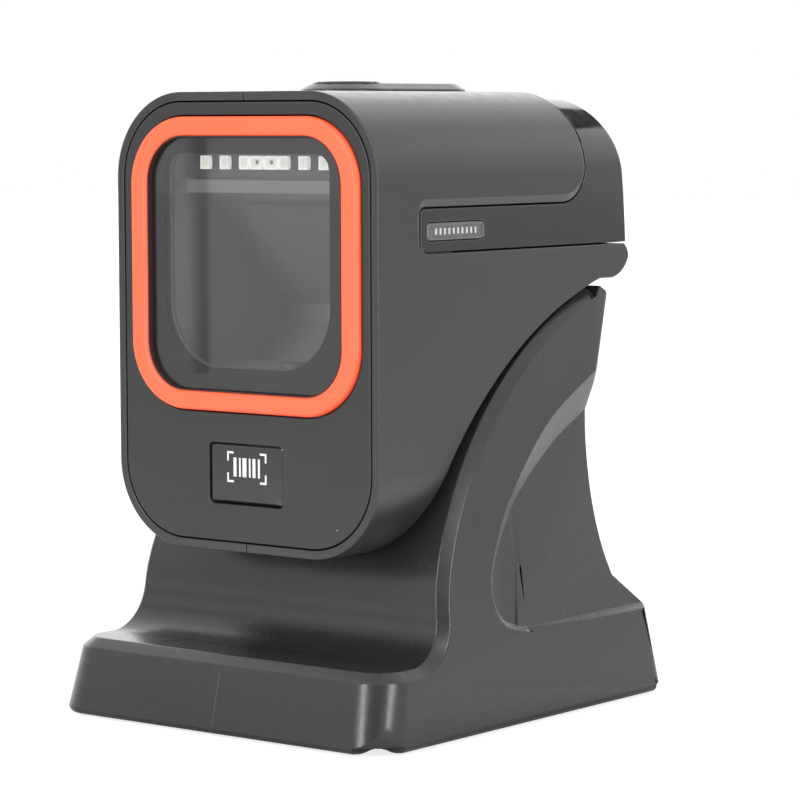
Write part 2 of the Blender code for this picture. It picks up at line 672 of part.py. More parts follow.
def build_bracket(axis):
    """The head's steel bracket: a plate with two ears that turn on the pin."""
    left, right, front, rear = BRACKET_PLATE
    plate = box_mesh("tilt_bracket", (left, front, BRACKET_LOW), (right, rear, BRACKET_HIGH))
    bracket = part("tilt_bracket", plate, "steel", axis)
    for side, label in ((1, "right"), (-1, "left")):
        span = sorted((side * EAR_INNER, side * EAR_OUTER))
        ear = outline_mesh("ear", [ear_outline(EAR_RADIUS, BRACKET_HIGH - 0.5)], "YZ", *span)
        boolean(bracket, cutter(f"ear_{label}", ear), "UNION")
    bore = cylinder_mesh("bore", PIN_RADIUS + PIN_CLEARANCE, -30, 30, "X", HINGE[1:])
    boolean(bracket, cutter("ear_bore", bore))
    for i, (x, y) in enumerate(BRACKET_SCREWS, 1):
        hole = cylinder_mesh("hole", SCREW_HOLE, 95.0, 112.0, at=(x, y), sides=12)
        boolean(bracket, cutter(f"bracket_hole_{i}", hole))
    for i, (x, y) in enumerate(BRACKET_SCREWS, 1):
        tip = FRONT_SCREW_TIP if y < HINGE[1] else REAR_SCREW_TIP
        screw = screw_mesh("bracket_screw", BRACKET_HIGH + 1.6, BRACKET_HIGH + GAP, tip)
        part(f"bracket_screw_{i}", screw, "steel", axis, (x, y, 0.0))


# ---------------------------------------------------------------- head shells

def head_section(name, inset, front):
    """The rounded tunnel, front to rear."""
    box = grown((-HEAD_HALF_WIDTH, HEAD_HALF_WIDTH, HEAD_LOW, HEAD_HIGH), -inset)
    return outline_mesh(name, [rounded_box(box, HEAD_CORNER - inset, 8)], "XZ", front, HEAD_REAR + 10.0)


def head_side(name, inset, front):
    """The head seen from the side: it clears the neck's sweep and ends in a rounded beak."""
    under = offset_path([*neck_curve(), *BEAK[:1]], HEAD_OVER_NECK + inset)[:-1]
    beak = BEAK_INSIDE if inset else BEAK
    path = [(under[0][0], 20.0), *under, *beak, (beak[-1][0], 170.0), (front, 170.0), (front, 20.0)]
    return outline_mesh(name, [path], "YZ", -60.0, 60.0)


def cover_region(name, grow):
    """The side view of all that belongs to the rear cover: the back and the two tongues."""
    low = TONGUE_LOW - grow
    high = TONGUE_HIGH + grow
    front = TONGUE_FRONT - grow
    radius = TONGUE_ROUND + grow
    path = [*arc((front + radius, high - radius), radius, 90, 180, 3),
            *arc((front + radius, low + radius), radius, 180, 270, 3),
            (80.0, low), (80.0, 180.0), (HOOD_END - grow, 180.0),
            *arc((HOOD_END - HOOD_ROUND, TONGUE_HIGH + HOOD_ROUND), HOOD_ROUND - grow, 0, -90, 6)]
    return outline_mesh(name, [path], "YZ", -60.0, 60.0)


def build_head_shells(axis):
    """Two mirrored halves of the head's housing, split on the middle plane."""
    cavity = cutter("head_cavity", head_section("head_cavity", HEAD_WALL, HEAD_FRONT - 5.0))
    cavity_side = head_side("cavity_side", HEAD_WALL, HEAD_FRONT - 10.0)
    boolean(cavity, cutter("cavity_side", cavity_side), "INTERSECT")
    side_view = cutter("head_side", head_side("head_side", 0.0, HEAD_FRONT - 10.0))
    cover = cutter("cover_space", cover_region("cover_space", SPLIT_GAP))
    well = cylinder_mesh("well", BUTTON_RADIUS + GAP, 140.0, 155.0, at=(0.0, BUTTON_Y))
    button = cutter("button_well", well)
    holes = [cutter(f"floor_hole_{i}", cylinder_mesh("hole", SCREW_HOLE, 92.0, 104.5, at=place, sides=12))
             for i, place in enumerate(BRACKET_SCREWS)]
    for side, label in ((1, "right"), (-1, "left")):
        shell = part(f"head_shell_{label}", head_section(f"head_shell_{label}", 0.0, HEAD_FRONT),
                     "textured_plastic", axis)
        half = box_mesh("half", (side * SPLIT_GAP, -80.0, 0.0), (side * 80.0, 80.0, 200.0))
        ear = box_mesh("ear_way", (side * (EAR_INNER - GAP), HINGE[1] - EAR_RADIUS - GAP, 90.0),
                       (side * (EAR_OUTER + GAP), HINGE[1] + EAR_RADIUS + GAP, 110.0))
        boolean(shell, side_view, "INTERSECT")
        boolean(shell, cutter(f"half_{label}", half), "INTERSECT")
        boolean(shell, cavity)
        boolean(shell, cover)
        boolean(shell, cutter(f"ear_way_{label}", ear))
        boolean(shell, button)
        for hole, place in zip(holes, BRACKET_SCREWS):
            if place[0] * side > 0:
                boolean(shell, hole)


def cover_profile(name, inset):
    """The rear cover from the side: the back leans forward a little and turns over into the top."""
    back = offset_path(COVER_BACK, inset) if inset else list(COVER_BACK)
    path = [(-60.0, 90.0), (back[0][0], 90.0), *back, (-60.0, COVER_TOP - inset)]
    return outline_mesh(name, [path], "YZ", -60.0, 60.0)


def build_rear_cover(axis):
    """The glossy back, with a tongue forward along each side."""
    cover = part("rear_cover", head_section("rear_cover", COVER_INSET, HEAD_FRONT), "gloss_plastic", axis)
    inner = COVER_INSET + COVER_WALL
    hollow = cutter("cover_cavity", head_section("cover_cavity", inner, HEAD_FRONT - 10.0))
    boolean(hollow, cutter("cover_cavity_side", cover_profile("cover_cavity_side", COVER_WALL)), "INTERSECT")
    boolean(cover, cutter("cover_side", cover_profile("cover_side", 0.0)), "INTERSECT")
    boolean(cover, cutter("cover_region", cover_region("cover_region", -SPLIT_GAP)), "INTERSECT")
    boolean(cover, hollow)
    for side, label in ((1, "right"), (-1, "left")):
        way = outline_mesh("way", [rounded_box(grown(STATUS_LENS, GAP), STATUS_LENS_CORNER + GAP, 3)], "YZ",
                           *sorted((side * 30.0, side * 45.0)))
        boolean(cover, cutter(f"lens_way_{label}", way))


def build_status_lights(axis):
    """A frosted light bar in each tongue, with its board behind."""
    for side, label in ((1, "right"), (-1, "left")):
        lens = outline_mesh("status_lens", [rounded_box(STATUS_LENS, STATUS_LENS_CORNER, 3)], "YZ",
                            *sorted(side * x for x in STATUS_LENS_DEPTH))
        part(f"status_lens_{label}", lens, "frosted_lens", axis)
        low, high = ((side * x, y, z) for x, y, z in (STATUS_BOARD_LOW, STATUS_BOARD_HIGH))
        board = box_mesh("status_light_board", low, high)
        part(f"status_light_board_{label}", board, "circuit_board", axis)


# ---------------------------------------------------------------- front and inside

def build_front(axis):
    """Panel, orange ring, window, printed mask and the badge plate."""
    ring_space = rounded_box(grown(RING_OUTER, GAP), RING_OUTER_CORNER + GAP)
    badge_space = rounded_box(grown(BADGE, GAP), BADGE_CORNER + GAP, 3)
    ring_hole = rounded_box(RING_INNER, RING_INNER_CORNER)
    pane = rounded_box(grown(RING_INNER, -GAP), RING_INNER_CORNER - GAP)
    pieces = (
        ("front_panel", [rounded_box(PANEL, PANEL_CORNER), ring_space, badge_space], HEAD_FRONT, PANEL_BACK,
         "panel_plastic"),
        ("accent_ring", [rounded_box(RING_OUTER, RING_OUTER_CORNER), ring_hole], RING_FRONT, PANEL_BACK,
         "orange_plastic"),
        ("scan_window", [pane], WINDOW_FRONT, PANEL_BACK, "dark_glass"),
        ("window_mask", [rounded_box(MASK, MASK_CORNER), rounded_box(MASK_OPENING, MASK_OPENING_CORNERS)],
         PANEL_BACK + GAP, PANEL_BACK + GAP + MASK_THICKNESS, "black_print"),
        ("badge_plate", [rounded_box(BADGE, BADGE_CORNER, 3)], BADGE_FRONT, PANEL_BACK, "gloss_plastic"),
    )
    for name, loops, front, back, finish in pieces:
        part(name, outline_mesh(name, loops, "XZ", front, back), finish, axis)


def tunnel_outline(inset, front):
    """The light tunnel from the side: open in front, its roof slopes down to the back."""
    corner = inset * math.tan(math.radians(22.5))
    return [
        (front, TUNNEL_LOW + inset),
        (front, TUNNEL_HIGH - inset),
        (SLOPE_TOP[0] - corner, TUNNEL_HIGH - inset),
        (SLOPE_END[0] - inset, SLOPE_END[1] - corner),
        (TUNNEL_REAR_LOW[0] - inset, TUNNEL_REAR_LOW[1] + corner),
        (TUNNEL_FLOOR_END - corner, TUNNEL_LOW + inset),
    ]


def build_mirror(axis):
    """A flat mirror under the tunnel's sloping roof, facing forward and down."""
    start = Vector(SLOPE_TOP)
    slope = Vector(SLOPE_END) - start
    along = slope.normalized()
    inward = Vector((along.y, -along.x))
    centre = start + slope * MIRROR_PLACE + inward * (TUNNEL_WALL + GAP + MIRROR_THICKNESS / 2)
    size = (MIRROR_HALF_WIDTH, MIRROR_HALF_LENGTH, MIRROR_THICKNESS / 2)
    mirror = part("fold_mirror", box_mesh("fold_mirror", [-s for s in size], size), "mirror_glass")
    mirror.rotation_euler = (math.atan2(along.y, along.x), 0.0, 0.0)
    mirror.location = Vector((0.0, centre.x, centre.y)) * MM
    mirror.parent = axis
    mirror.matrix_parent_inverse = axis.matrix_world.inverted()


def build_optics(axis):
    """Light tunnel, lights, scan engine and its lens."""
    tunnel = part("light_tunnel", outline_mesh("light_tunnel", [tunnel_outline(0.0, TUNNEL_FRONT)], "YZ",
                                               -TUNNEL_HALF_WIDTH, TUNNEL_HALF_WIDTH), "grey_plastic", axis)
    hollow = outline_mesh("tunnel_hollow", [tunnel_outline(TUNNEL_WALL, TUNNEL_FRONT - 5.0)], "YZ",
                          -TUNNEL_HALF_WIDTH + TUNNEL_WALL, TUNNEL_HALF_WIDTH - TUNNEL_WALL)
    boolean(tunnel, cutter("tunnel_hollow", hollow))
    way = cylinder_mesh("lens_hole", LENS_RADIUS + 1.5, TUNNEL_LOW - 5.0, TUNNEL_LOW + 5.0,
                        at=(0.0, LENS_AXIS_Y))
    boolean(tunnel, cutter("lens_hole", way))
    part("led_board", box_mesh("led_board", *LED_BOARD), "circuit_board", axis)
    rear = LED_BOARD_FRONT - GAP
    for i, x in enumerate(LED_PLACES, 1):
        half = WIDE_LED_HALF_WIDTH if abs(x) < 3 else LED_HALF_WIDTH
        led = box_mesh("led", (-half, rear - LED_DEPTH, -LED_HALF_HEIGHT), (half, rear, LED_HALF_HEIGHT))
        part(f"led_{i}", led, "light_plastic", axis, (x, 0.0, LED_HEIGHT))
    part("scan_engine", box_mesh("scan_engine", *SCAN_ENGINE), "grey_plastic", axis)
    part("engine_lens", cylinder_mesh("engine_lens", LENS_RADIUS, 78.3, 84.0, at=(0.0, LENS_AXIS_Y),
                                      top_radius=LENS_RADIUS - 0.6), "lens_glass", axis)


def build_electronics(axis):
    """Main board, buzzer and the button's switch board."""
    part("main_board", box_mesh("main_board", *MAIN_BOARD), "circuit_board", axis)
    buzzer = cylinder_mesh("buzzer", BUZZER_RADIUS, *BUZZER_DEPTH, "Y", BUZZER_PLACE)
    part("buzzer", buzzer, "panel_plastic", axis)
    part("button_board", box_mesh("button_board", *BUTTON_BOARD), "circuit_board", axis)
    low, high = SWITCH_HEIGHT
    half = SWITCH_HALF_WIDTH
    part("tact_switch", box_mesh("tact_switch", (-half, BUTTON_Y - half, low), (half, BUTTON_Y + half, high)),
         "steel", axis)


def build_top(axis, button_axis):
    """Raised pad with a press button at its front end."""
    stadium = rounded_box((-PAD_HALF_WIDTH, PAD_HALF_WIDTH, PAD_FRONT, PAD_REAR), PAD_HALF_WIDTH, 8)
    bm = outline_bmesh([stadium], "XY", HEAD_HIGH + GAP, PAD_TOP)
    bmesh.ops.dissolve_limit(bm, angle_limit=math.radians(1), verts=bm.verts, edges=bm.edges)
    rim = [e for e in bm.edges if all(v.co.z > (PAD_TOP - 0.01) * MM for v in e.verts)]
    bmesh.ops.bevel(bm, geom=rim, offset=PAD_CHAMFER * MM, segments=1, profile=0.5, affect="EDGES")
    pad = part("top_pad", finish_mesh(bm, "top_pad"), "panel_plastic", axis)
    well = cylinder_mesh("pad_well", BUTTON_RADIUS + GAP, 140.0, 155.0, at=(0.0, BUTTON_Y))
    boolean(pad, cutter("pad_well", well))
    rim = BUTTON_TOP - BUTTON_CROWN
    cap = cylinder_mesh("top_button", BUTTON_RADIUS, BUTTON_CAP_LOW, rim, at=(0.0, BUTTON_Y))
    button = part("top_button", cap, "gloss_plastic", button_axis)
    crown = cylinder_mesh("crown", BUTTON_RADIUS - 0.01, rim - 0.2, BUTTON_TOP, at=(0.0, BUTTON_Y),
                          top_radius=BUTTON_RADIUS - 0.6)
    stem = cylinder_mesh("stem", BUTTON_STEM_RADIUS, BUTTON_STEM_LOW, BUTTON_CAP_LOW + 1.0,
                         at=(0.0, BUTTON_Y), sides=12)
    boolean(button, cutter("button_crown", crown), "UNION")
    boolean(button, cutter("button_stem", stem), "UNION")


def joint_empty(name, place, parent=None):
    """An empty on a joint's axis, which carries what moves."""
    empty = bpy.data.objects.new(name, None)
    collection("barcode_scanner").objects.link(empty)
    empty.location = Vector(place) * MM
    bpy.context.view_layer.update()
    if parent:
        empty.parent = parent
        empty.matrix_parent_inverse = parent.matrix_world.inverted()
        bpy.context.view_layer.update()
    return empty


def main():
    for existing in list(bpy.data.objects):
        bpy.data.objects.remove(existing)
    tilt_axis = joint_empty("head_tilt_axis", HINGE)
    button_axis = joint_empty("button_press_axis", (0.0, BUTTON_Y, BUTTON_TOP), tilt_axis)
    build_base_shell()
    build_underside()
    build_socket()
    build_hinge()
    build_bracket(tilt_axis)
    build_head_shells(tilt_axis)
    build_rear_cover(tilt_axis)
    build_status_lights(tilt_axis)
    build_front(tilt_axis)
    build_mirror(tilt_axis)
    build_optics(tilt_axis)
    build_electronics(tilt_axis)
    build_top(tilt_axis, button_axis)


main()
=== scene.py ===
"""Looks for a hands-free desktop barcode scanner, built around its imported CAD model.

Lengths are in millimetres unless a name says otherwise, and MM turns them into the frame's metres.
Frame: origin on the counter under the middle of the scanner, +Z up, the window faces -Y.
"""

import math

import bmesh
import bpy
from mathutils import Matrix, Vector


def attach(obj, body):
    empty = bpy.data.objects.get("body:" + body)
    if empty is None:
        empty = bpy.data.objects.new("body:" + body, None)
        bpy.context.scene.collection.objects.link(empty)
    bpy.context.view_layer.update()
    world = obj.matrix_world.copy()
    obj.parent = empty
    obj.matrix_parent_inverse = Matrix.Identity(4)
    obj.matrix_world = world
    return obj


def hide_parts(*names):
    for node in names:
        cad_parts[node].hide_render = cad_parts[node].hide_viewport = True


MM = 0.001
WELD = 0.000004
WHITE = (1.0, 1.0, 1.0)
BLACK = (0.014, 0.014, 0.0145)

# Studio, in metres, degrees and watts
CAMERA_PLACE = (0.49380, -0.61285, 0.14156)
CAMERA_YAW, CAMERA_PITCH, CAMERA_ROLL = 38.29, 4.95, -0.216
CAMERA_LENS = 147.2
STRIP_AZIMUTHS = (("strip_left", -4.0), ("strip_right", 78.0))
STRIP_DISTANCE = 0.9
STRIP_HEIGHT = 0.35
STRIP_TARGET = (0.0, 0.0, 0.07)
STRIP_SIZE = (0.22, 0.7)
STRIP_POWER = 5.6
CARD_LEFT = (-0.7215, -0.8238)
CARD_RIGHT = (-0.7095, -0.8290)
CARD_HEIGHT = 1.2
CARD_FADE = 0.6
CARD_GLOW = (0.85, 0.10)
FLOOR_HALF_SIZE = 4.0
FLOOR_CELLS = 24
FLOOR_SEEN = 0.78

# The backdrop's strength at each cosine to straight up, to the viewer and to the corner behind the scanner
SKY_UP = ((-0.20, 0.55), (-0.09, 0.68), (-0.055, 0.78), (-0.02, 1.0), (0.13, 1.05), (0.22, 1.35), (0.31, 1.40),
          (0.535, 1.40), (0.545, 0.04), (0.585, 0.04), (0.60, 1.40), (0.80, 1.35))
SKY_VIEWER = ((0.60, 1.0), (0.92, 0.40), (0.965, 0.12))
SKY_BEHIND = ((0.30, 1.0), (0.75, 1.75))
VIEWER_AZIMUTH = 35.0
BEHIND_AZIMUTH = 218.0

# Base
BASE_HALF_WIDTH = 50.2
BASE_DRAFT = 0.111
BASE_BOTTOM = 0.4
BASE_WALL = 2.4
CAVITY_LOW = -5.0
SOCKET_OPENING = ((-8.3, 44.0, 5.8), (8.3, 60.0, 18.8))
EAR_SLOT = (27.5, 41.0, 92.0, 104.0)
EAR_SLOT_GAP = 0.7
BOTTOM_ROUND = 1.5
FRONT_FOOT = (-57.9, BASE_BOTTOM + BOTTOM_ROUND)
FRONT_LIP = (-53.9, 18.2)
TRAY_END = -41.5
TRAY_FILLET = 10.5
NECK = ((-31.0, 29.0), (-29.8, 51.0), (-2.0, 88.5), (42.0, 100.5))
NECK_REAR_TOP = (46.5, 98.0)
WAIST = ((39.8, 81.0), (33.5, 67.0), (31.4, 46.0), (39.0, 30.5))
REAR_LIP = (50.6, 22.4)
REAR_FOOT = (54.0, BASE_BOTTOM + BOTTOM_ROUND)
FRONT_CORNER = 8.5
REAR_CORNER = 3.0
EDGE_CHAMFER = 2.2
SCOOP_RIM = ((36.9, 80.2), (15.8, 69.3), (-1.5, 53.4), (-10.5, 39.4), (-12.2, 31.2), (-8.2, 23.8), (3.0, 20.9))
SCOOP_FLOOR = ((34.0, 69.8), (19.4, 63.4), (1.7, 51.9), (-9.2, 39.4), (-11.4, 31.3), (-7.9, 25.0), (3.0, 22.3))
SCOOP_REAR = 62.0
SCOOP_RIM_RISE = 11.0
SCOOP_FLOOR_RISE = 12.0
SCOOP_BACKING_RISE = 14.0
SCOOP_SLOPE_Y = 0.030
SCOOP_SLOPE_Z = 0.046
SCOOP_BASE_DEPTH = -0.72
SCOOP_MIN_DEPTH = 0.6

# Head
HEAD_HALF_WIDTH = 39.5
HEAD_LOW = 41.0
HEAD_HIGH = 147.5
HEAD_CORNER = 20.0
HEAD_FRONT = -45.0
HEAD_REAR = 53.6
HEAD_WALL = 2.1
HEAD_OVER_NECK = 1.8
MIDDLE_GAP = 0.07
BEAK = ((46.8, 102.2), (49.2, 102.9), (51.4, 104.2), (53.0, 106.0), (53.6, 107.6), (53.0, 109.2), (51.8, 110.45))
BEAK_INSIDE = ((46.0, 104.6), (48.3, 105.6), (49.2, 107.2))
SPLIT_GAP = 0.15
COVER_INSET = 0.8
COVER_WALL = 1.8
COVER_TOP = 146.7
COVER_BACK = ((53.5, 108.0), (53.4, 112.0), (52.9, 119.0), (52.3, 125.0), (51.6, 130.0), (50.5, 135.0), (49.2, 139.0),
              (47.9, 142.0), (46.3, 144.2), (43.9, 145.7), (41.0, 146.4), (37.0, COVER_TOP))
TONGUE_FRONT = -28.7
TONGUE_LOW = 110.6
TONGUE_HIGH = 120.9
TONGUE_ROUND = 1.5
HOOD_END = 36.5
HOOD_ROUND = 9.5
POCKET_CHAMFER = 2.0
POCKET_DEPTH = 0.95

# Front stack
PANEL = (-37.1, 37.1, 43.4, 145.1)
PANEL_CORNER = 17.6
PANEL_BACK = -42.6
RING_OUTER = (-34.4, 34.4, 73.6, 141.8)
RING_OUTER_CORNER = 16.0
RING_INNER = (-29.3, 29.3, 78.1, 137.3)
RING_INNER_CORNER = 11.0
RING_FRONT = -46.3
WINDOW_FRONT = -44.4
MASK_OPENING = (-25.0, 25.0, 83.7, 133.2)
MASK_OPENING_CORNERS = (15.0, 15.0, 4.0, 4.0)
BADGE = (-11.05, 11.05, 52.3, 66.0)
BADGE_CORNER = 1.2
BADGE_FRONT = -44.6

# Inside the window
TUNNEL_HALF_WIDTH = 29.5
FRAME_REAR = -41.4
LED_ROW = ((-18.0, 1.4), (-12.0, 1.4), (-6.0, 1.4), (-2.2, 1.8), (2.2, 1.8), (6.0, 1.4), (12.0, 1.4), (18.0, 1.4))
LED_HEIGHT = 131.1
LED_HALF_HEIGHT = 1.6
LED_FRONT = -38.1
LED_BACK = -37.1
LEDGE = (123.9, 127.1)
SLOPE = ((-33.5, 136.0), (6.5, 96.5))
MIRROR_HALF_WIDTH = 19.5
MIRROR_HALF_LENGTH = 15.6
MIRROR_PLACE = 0.614
MIRROR_OFF_SLOPE = 2.5

# Hinge, lights and button
HINGE = (33.0, 90.0)
EAR_INNER = 12.5
EAR_OUTER = 15.5
EAR_RADIUS = 4.3
STATUS_LENS = (-26.4, -4.7, 113.4, 117.5)
STATUS_LENS_CORNER = 1.2
PAD_HALF_WIDTH = 11.0
PAD_FRONT = -18.2
PAD_REAR = 32.2
PAD_TOP = 149.5
BUTTON_Y = -7.2
BUTTON_RADIUS = 8.5
BUTTON_TOP = 150.0
WELL_LOW = 140.0
WELL_HIGH = 155.0
GAP = 0.3
LENS_GAP = 0.1

# Badge's face, its mark, and the bars of the status lights
BADGE_BEVEL = 3.4
BADGE_SLOPE = 0.8
MARK_HALF_WIDTH = 6.0
MARK_LOW = 57.2
MARK_HIGH = 64.4
MARK_BARS = ((-3.6, 0.45, 58.6, 63.0), (-2.1, 0.25, 58.6, 63.0), (-0.7, 0.60, 58.6, 63.0), (0.9, 0.25, 58.6, 63.0),
             (2.2, 0.45, 58.6, 63.0), (3.7, 0.30, 58.6, 63.0))
LENS_FACE = 38.9
LENS_BACK = 36.9
BAR_COUNT = 10
BAR_FIRST = -22.9
BAR_PITCH = 1.66
BAR_HALF = 0.32
BAR_SPAN = (114.75, 116.2)

# Degrees above which smooth shading keeps an edge sharp, and above which an edge is rounded
CREASE = 11
ROUND_ANGLE = 28

SIDES = ((1, "right"), (-1, "left"))

# A plane's matrix turns an outline's x, y and thickness into the scanner's X, Y and Z
PLANES = {
    "XZ": Matrix(((1, 0, 0), (0, 0, -1), (0, 1, 0))),
    "YZ": Matrix(((0, 0, 1), (1, 0, 0), (0, 1, 0))),
}


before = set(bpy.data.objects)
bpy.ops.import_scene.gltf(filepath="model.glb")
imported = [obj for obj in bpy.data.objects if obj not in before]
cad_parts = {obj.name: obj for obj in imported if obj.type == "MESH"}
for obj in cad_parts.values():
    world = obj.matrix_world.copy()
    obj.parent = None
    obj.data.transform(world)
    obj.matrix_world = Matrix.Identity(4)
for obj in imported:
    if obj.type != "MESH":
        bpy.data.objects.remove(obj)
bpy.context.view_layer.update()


# ---- camera, floor and light

def direction(azimuth, elevation=0.0):
    """A unit vector; azimuth 0 is the scanner's front and 90 its right side."""
    a, e = math.radians(azimuth), math.radians(elevation)
    return Vector((math.sin(a) * math.cos(e), -math.cos(a) * math.cos(e), math.sin(e)))


def linked(name, data):
    """A new object in the scene."""
    made = bpy.data.objects.new(name, data)
    bpy.context.scene.collection.objects.link(made)
    return made


def product(tree, a, b):
    """A node that multiplies two values, each a socket or a number."""
    made = tree.nodes.new("ShaderNodeMath")
    made.operation = "MULTIPLY"
    for socket, value in zip(made.inputs, (a, b)):
        if isinstance(value, bpy.types.NodeSocket):
            tree.links.new(value, socket)
        else:
            socket.default_value = value
    return made.outputs[0]


def build_camera():
    """The viewpoint: ahead and to the right, a little above the middle of the scanner."""
    data = bpy.data.cameras.new("camera")
    data.lens = CAMERA_LENS
    camera = linked("camera", data)
    yaw, pitch, roll = (math.radians(a) for a in (CAMERA_YAW, CAMERA_PITCH, CAMERA_ROLL))
    turn = Matrix.Rotation(yaw, 4, "Z") @ Matrix.Rotation(math.pi / 2 - pitch, 4, "X") @ Matrix.Rotation(roll, 4, "Z")
    camera.matrix_world = Matrix.Translation(CAMERA_PLACE) @ turn
    bpy.context.scene.camera = camera


def add_light(name, place, target, size, power):
    """A rectangular softbox that faces its target, in metres and watts."""
    data = bpy.data.lights.new(name, "AREA")
    data.shape = "RECTANGLE"
    data.size, data.size_y = size
    data.energy = power
    light = linked(name, data)
    light.location = place
    light.rotation_mode = "QUATERNION"
    light.rotation_quaternion = (Vector(target) - Vector(place)).to_track_quat("-Z", "Y")
    light.visible_camera = False


def build_world():
    """A white studio, darker round the viewer and brighter behind the scanner, with a dark band high up."""
    world = bpy.data.worlds.new("studio")
    bpy.context.scene.world = world
    world.use_nodes = True
    tree = world.node_tree
    background = tree.nodes["Background"]
    place = tree.nodes.new("ShaderNodeTexCoord").outputs["Generated"]

    def ramp(towards, points):
        """A value that changes with the angle to a direction, from (cosine, value) points."""
        dot = tree.nodes.new("ShaderNodeVectorMath")
        dot.operation = "DOT_PRODUCT"
        dot.inputs[1].default_value = towards
        tree.links.new(place, dot.inputs[0])
        spread = tree.nodes.new("ShaderNodeMapRange")
        spread.inputs["From Min"].default_value = -1.0
        tree.links.new(dot.outputs["Value"], spread.inputs["Value"])
        colours = tree.nodes.new("ShaderNodeValToRGB")
        elements = colours.color_ramp.elements
        elements[0].position, elements[1].position = 0.0, 1.0
        peak = max(value for _, value in points)
        for cosine, value in points:
            made = elements.new((cosine + 1) / 2)
            made.color = (value / peak, value / peak, value / peak, 1.0)
        elements[0].color = elements[1].color
        elements[len(elements) - 1].color = elements[len(elements) - 2].color
        tree.links.new(spread.outputs["Result"], colours.inputs[0])
        return product(tree, colours.outputs["Color"], peak)

    height = ramp((0.0, 0.0, 1.0), SKY_UP)
    viewer = ramp(direction(VIEWER_AZIMUTH), SKY_VIEWER)
    behind = ramp(direction(BEHIND_AZIMUTH), SKY_BEHIND)
    strength = product(tree, product(tree, height, viewer), behind)
    seen = tree.nodes.new("ShaderNodeLightPath")
    mix = tree.nodes.new("ShaderNodeMix")
    mix.data_type = "FLOAT"
    mix.inputs["B"].default_value = 1.0
    tree.links.new(seen.outputs["Is Camera Ray"], mix.inputs["Factor"])
    tree.links.new(strength, mix.inputs["A"])
    tree.links.new(mix.outputs["Result"], background.inputs["Strength"])
    background.inputs["Color"].default_value = (*WHITE, 1.0)


def build_card():
    """A narrow upright card, pale on one side and dark on the other, which the window reflects."""
    mesh = bpy.data.meshes.new("card")
    corners = [(*CARD_LEFT, 0.0), (*CARD_RIGHT, 0.0), (*CARD_RIGHT, CARD_HEIGHT), (*CARD_LEFT, CARD_HEIGHT)]
    mesh.from_pydata(corners, [], [(0, 1, 2, 3)])
    card = linked("card", mesh)
    card.visible_camera = False
    card.visible_shadow = False
    f = Finish("card_grey", (0.02, 0.02, 0.02), 0.9)
    across = f.node("ShaderNodeSeparateXYZ", Vector=f.place).outputs["X"]
    f.shader.inputs["Emission Color"].default_value = (*WHITE, 1.0)
    faded = CARD_LEFT[0] * (1 - CARD_FADE) + CARD_RIGHT[0] * CARD_FADE
    f.set("Emission Strength", f.remap(across, CARD_LEFT[0], faded, *CARD_GLOW))
    mesh.materials.append(f.material)


def build_studio():
    """Pale floor, two upright softboxes and a card that the window reflects."""
    build_world()
    bpy.context.scene.view_settings.view_transform = "Standard"
    bpy.context.scene.view_settings.look = "None"
    for name, azimuth in STRIP_AZIMUTHS:
        place = direction(azimuth) * STRIP_DISTANCE + Vector((0.0, 0.0, STRIP_HEIGHT))
        add_light(name, place, STRIP_TARGET, STRIP_SIZE, STRIP_POWER)
    build_card()
    bm = bmesh.new()
    bmesh.ops.create_grid(bm, x_segments=FLOOR_CELLS, y_segments=FLOOR_CELLS, size=FLOOR_HALF_SIZE)
    mesh = bpy.data.meshes.new("floor")
    bm.to_mesh(mesh)
    bm.free()
    floor = linked("floor", mesh)
    mesh.materials.append(floor_finish())


# ---- finishes

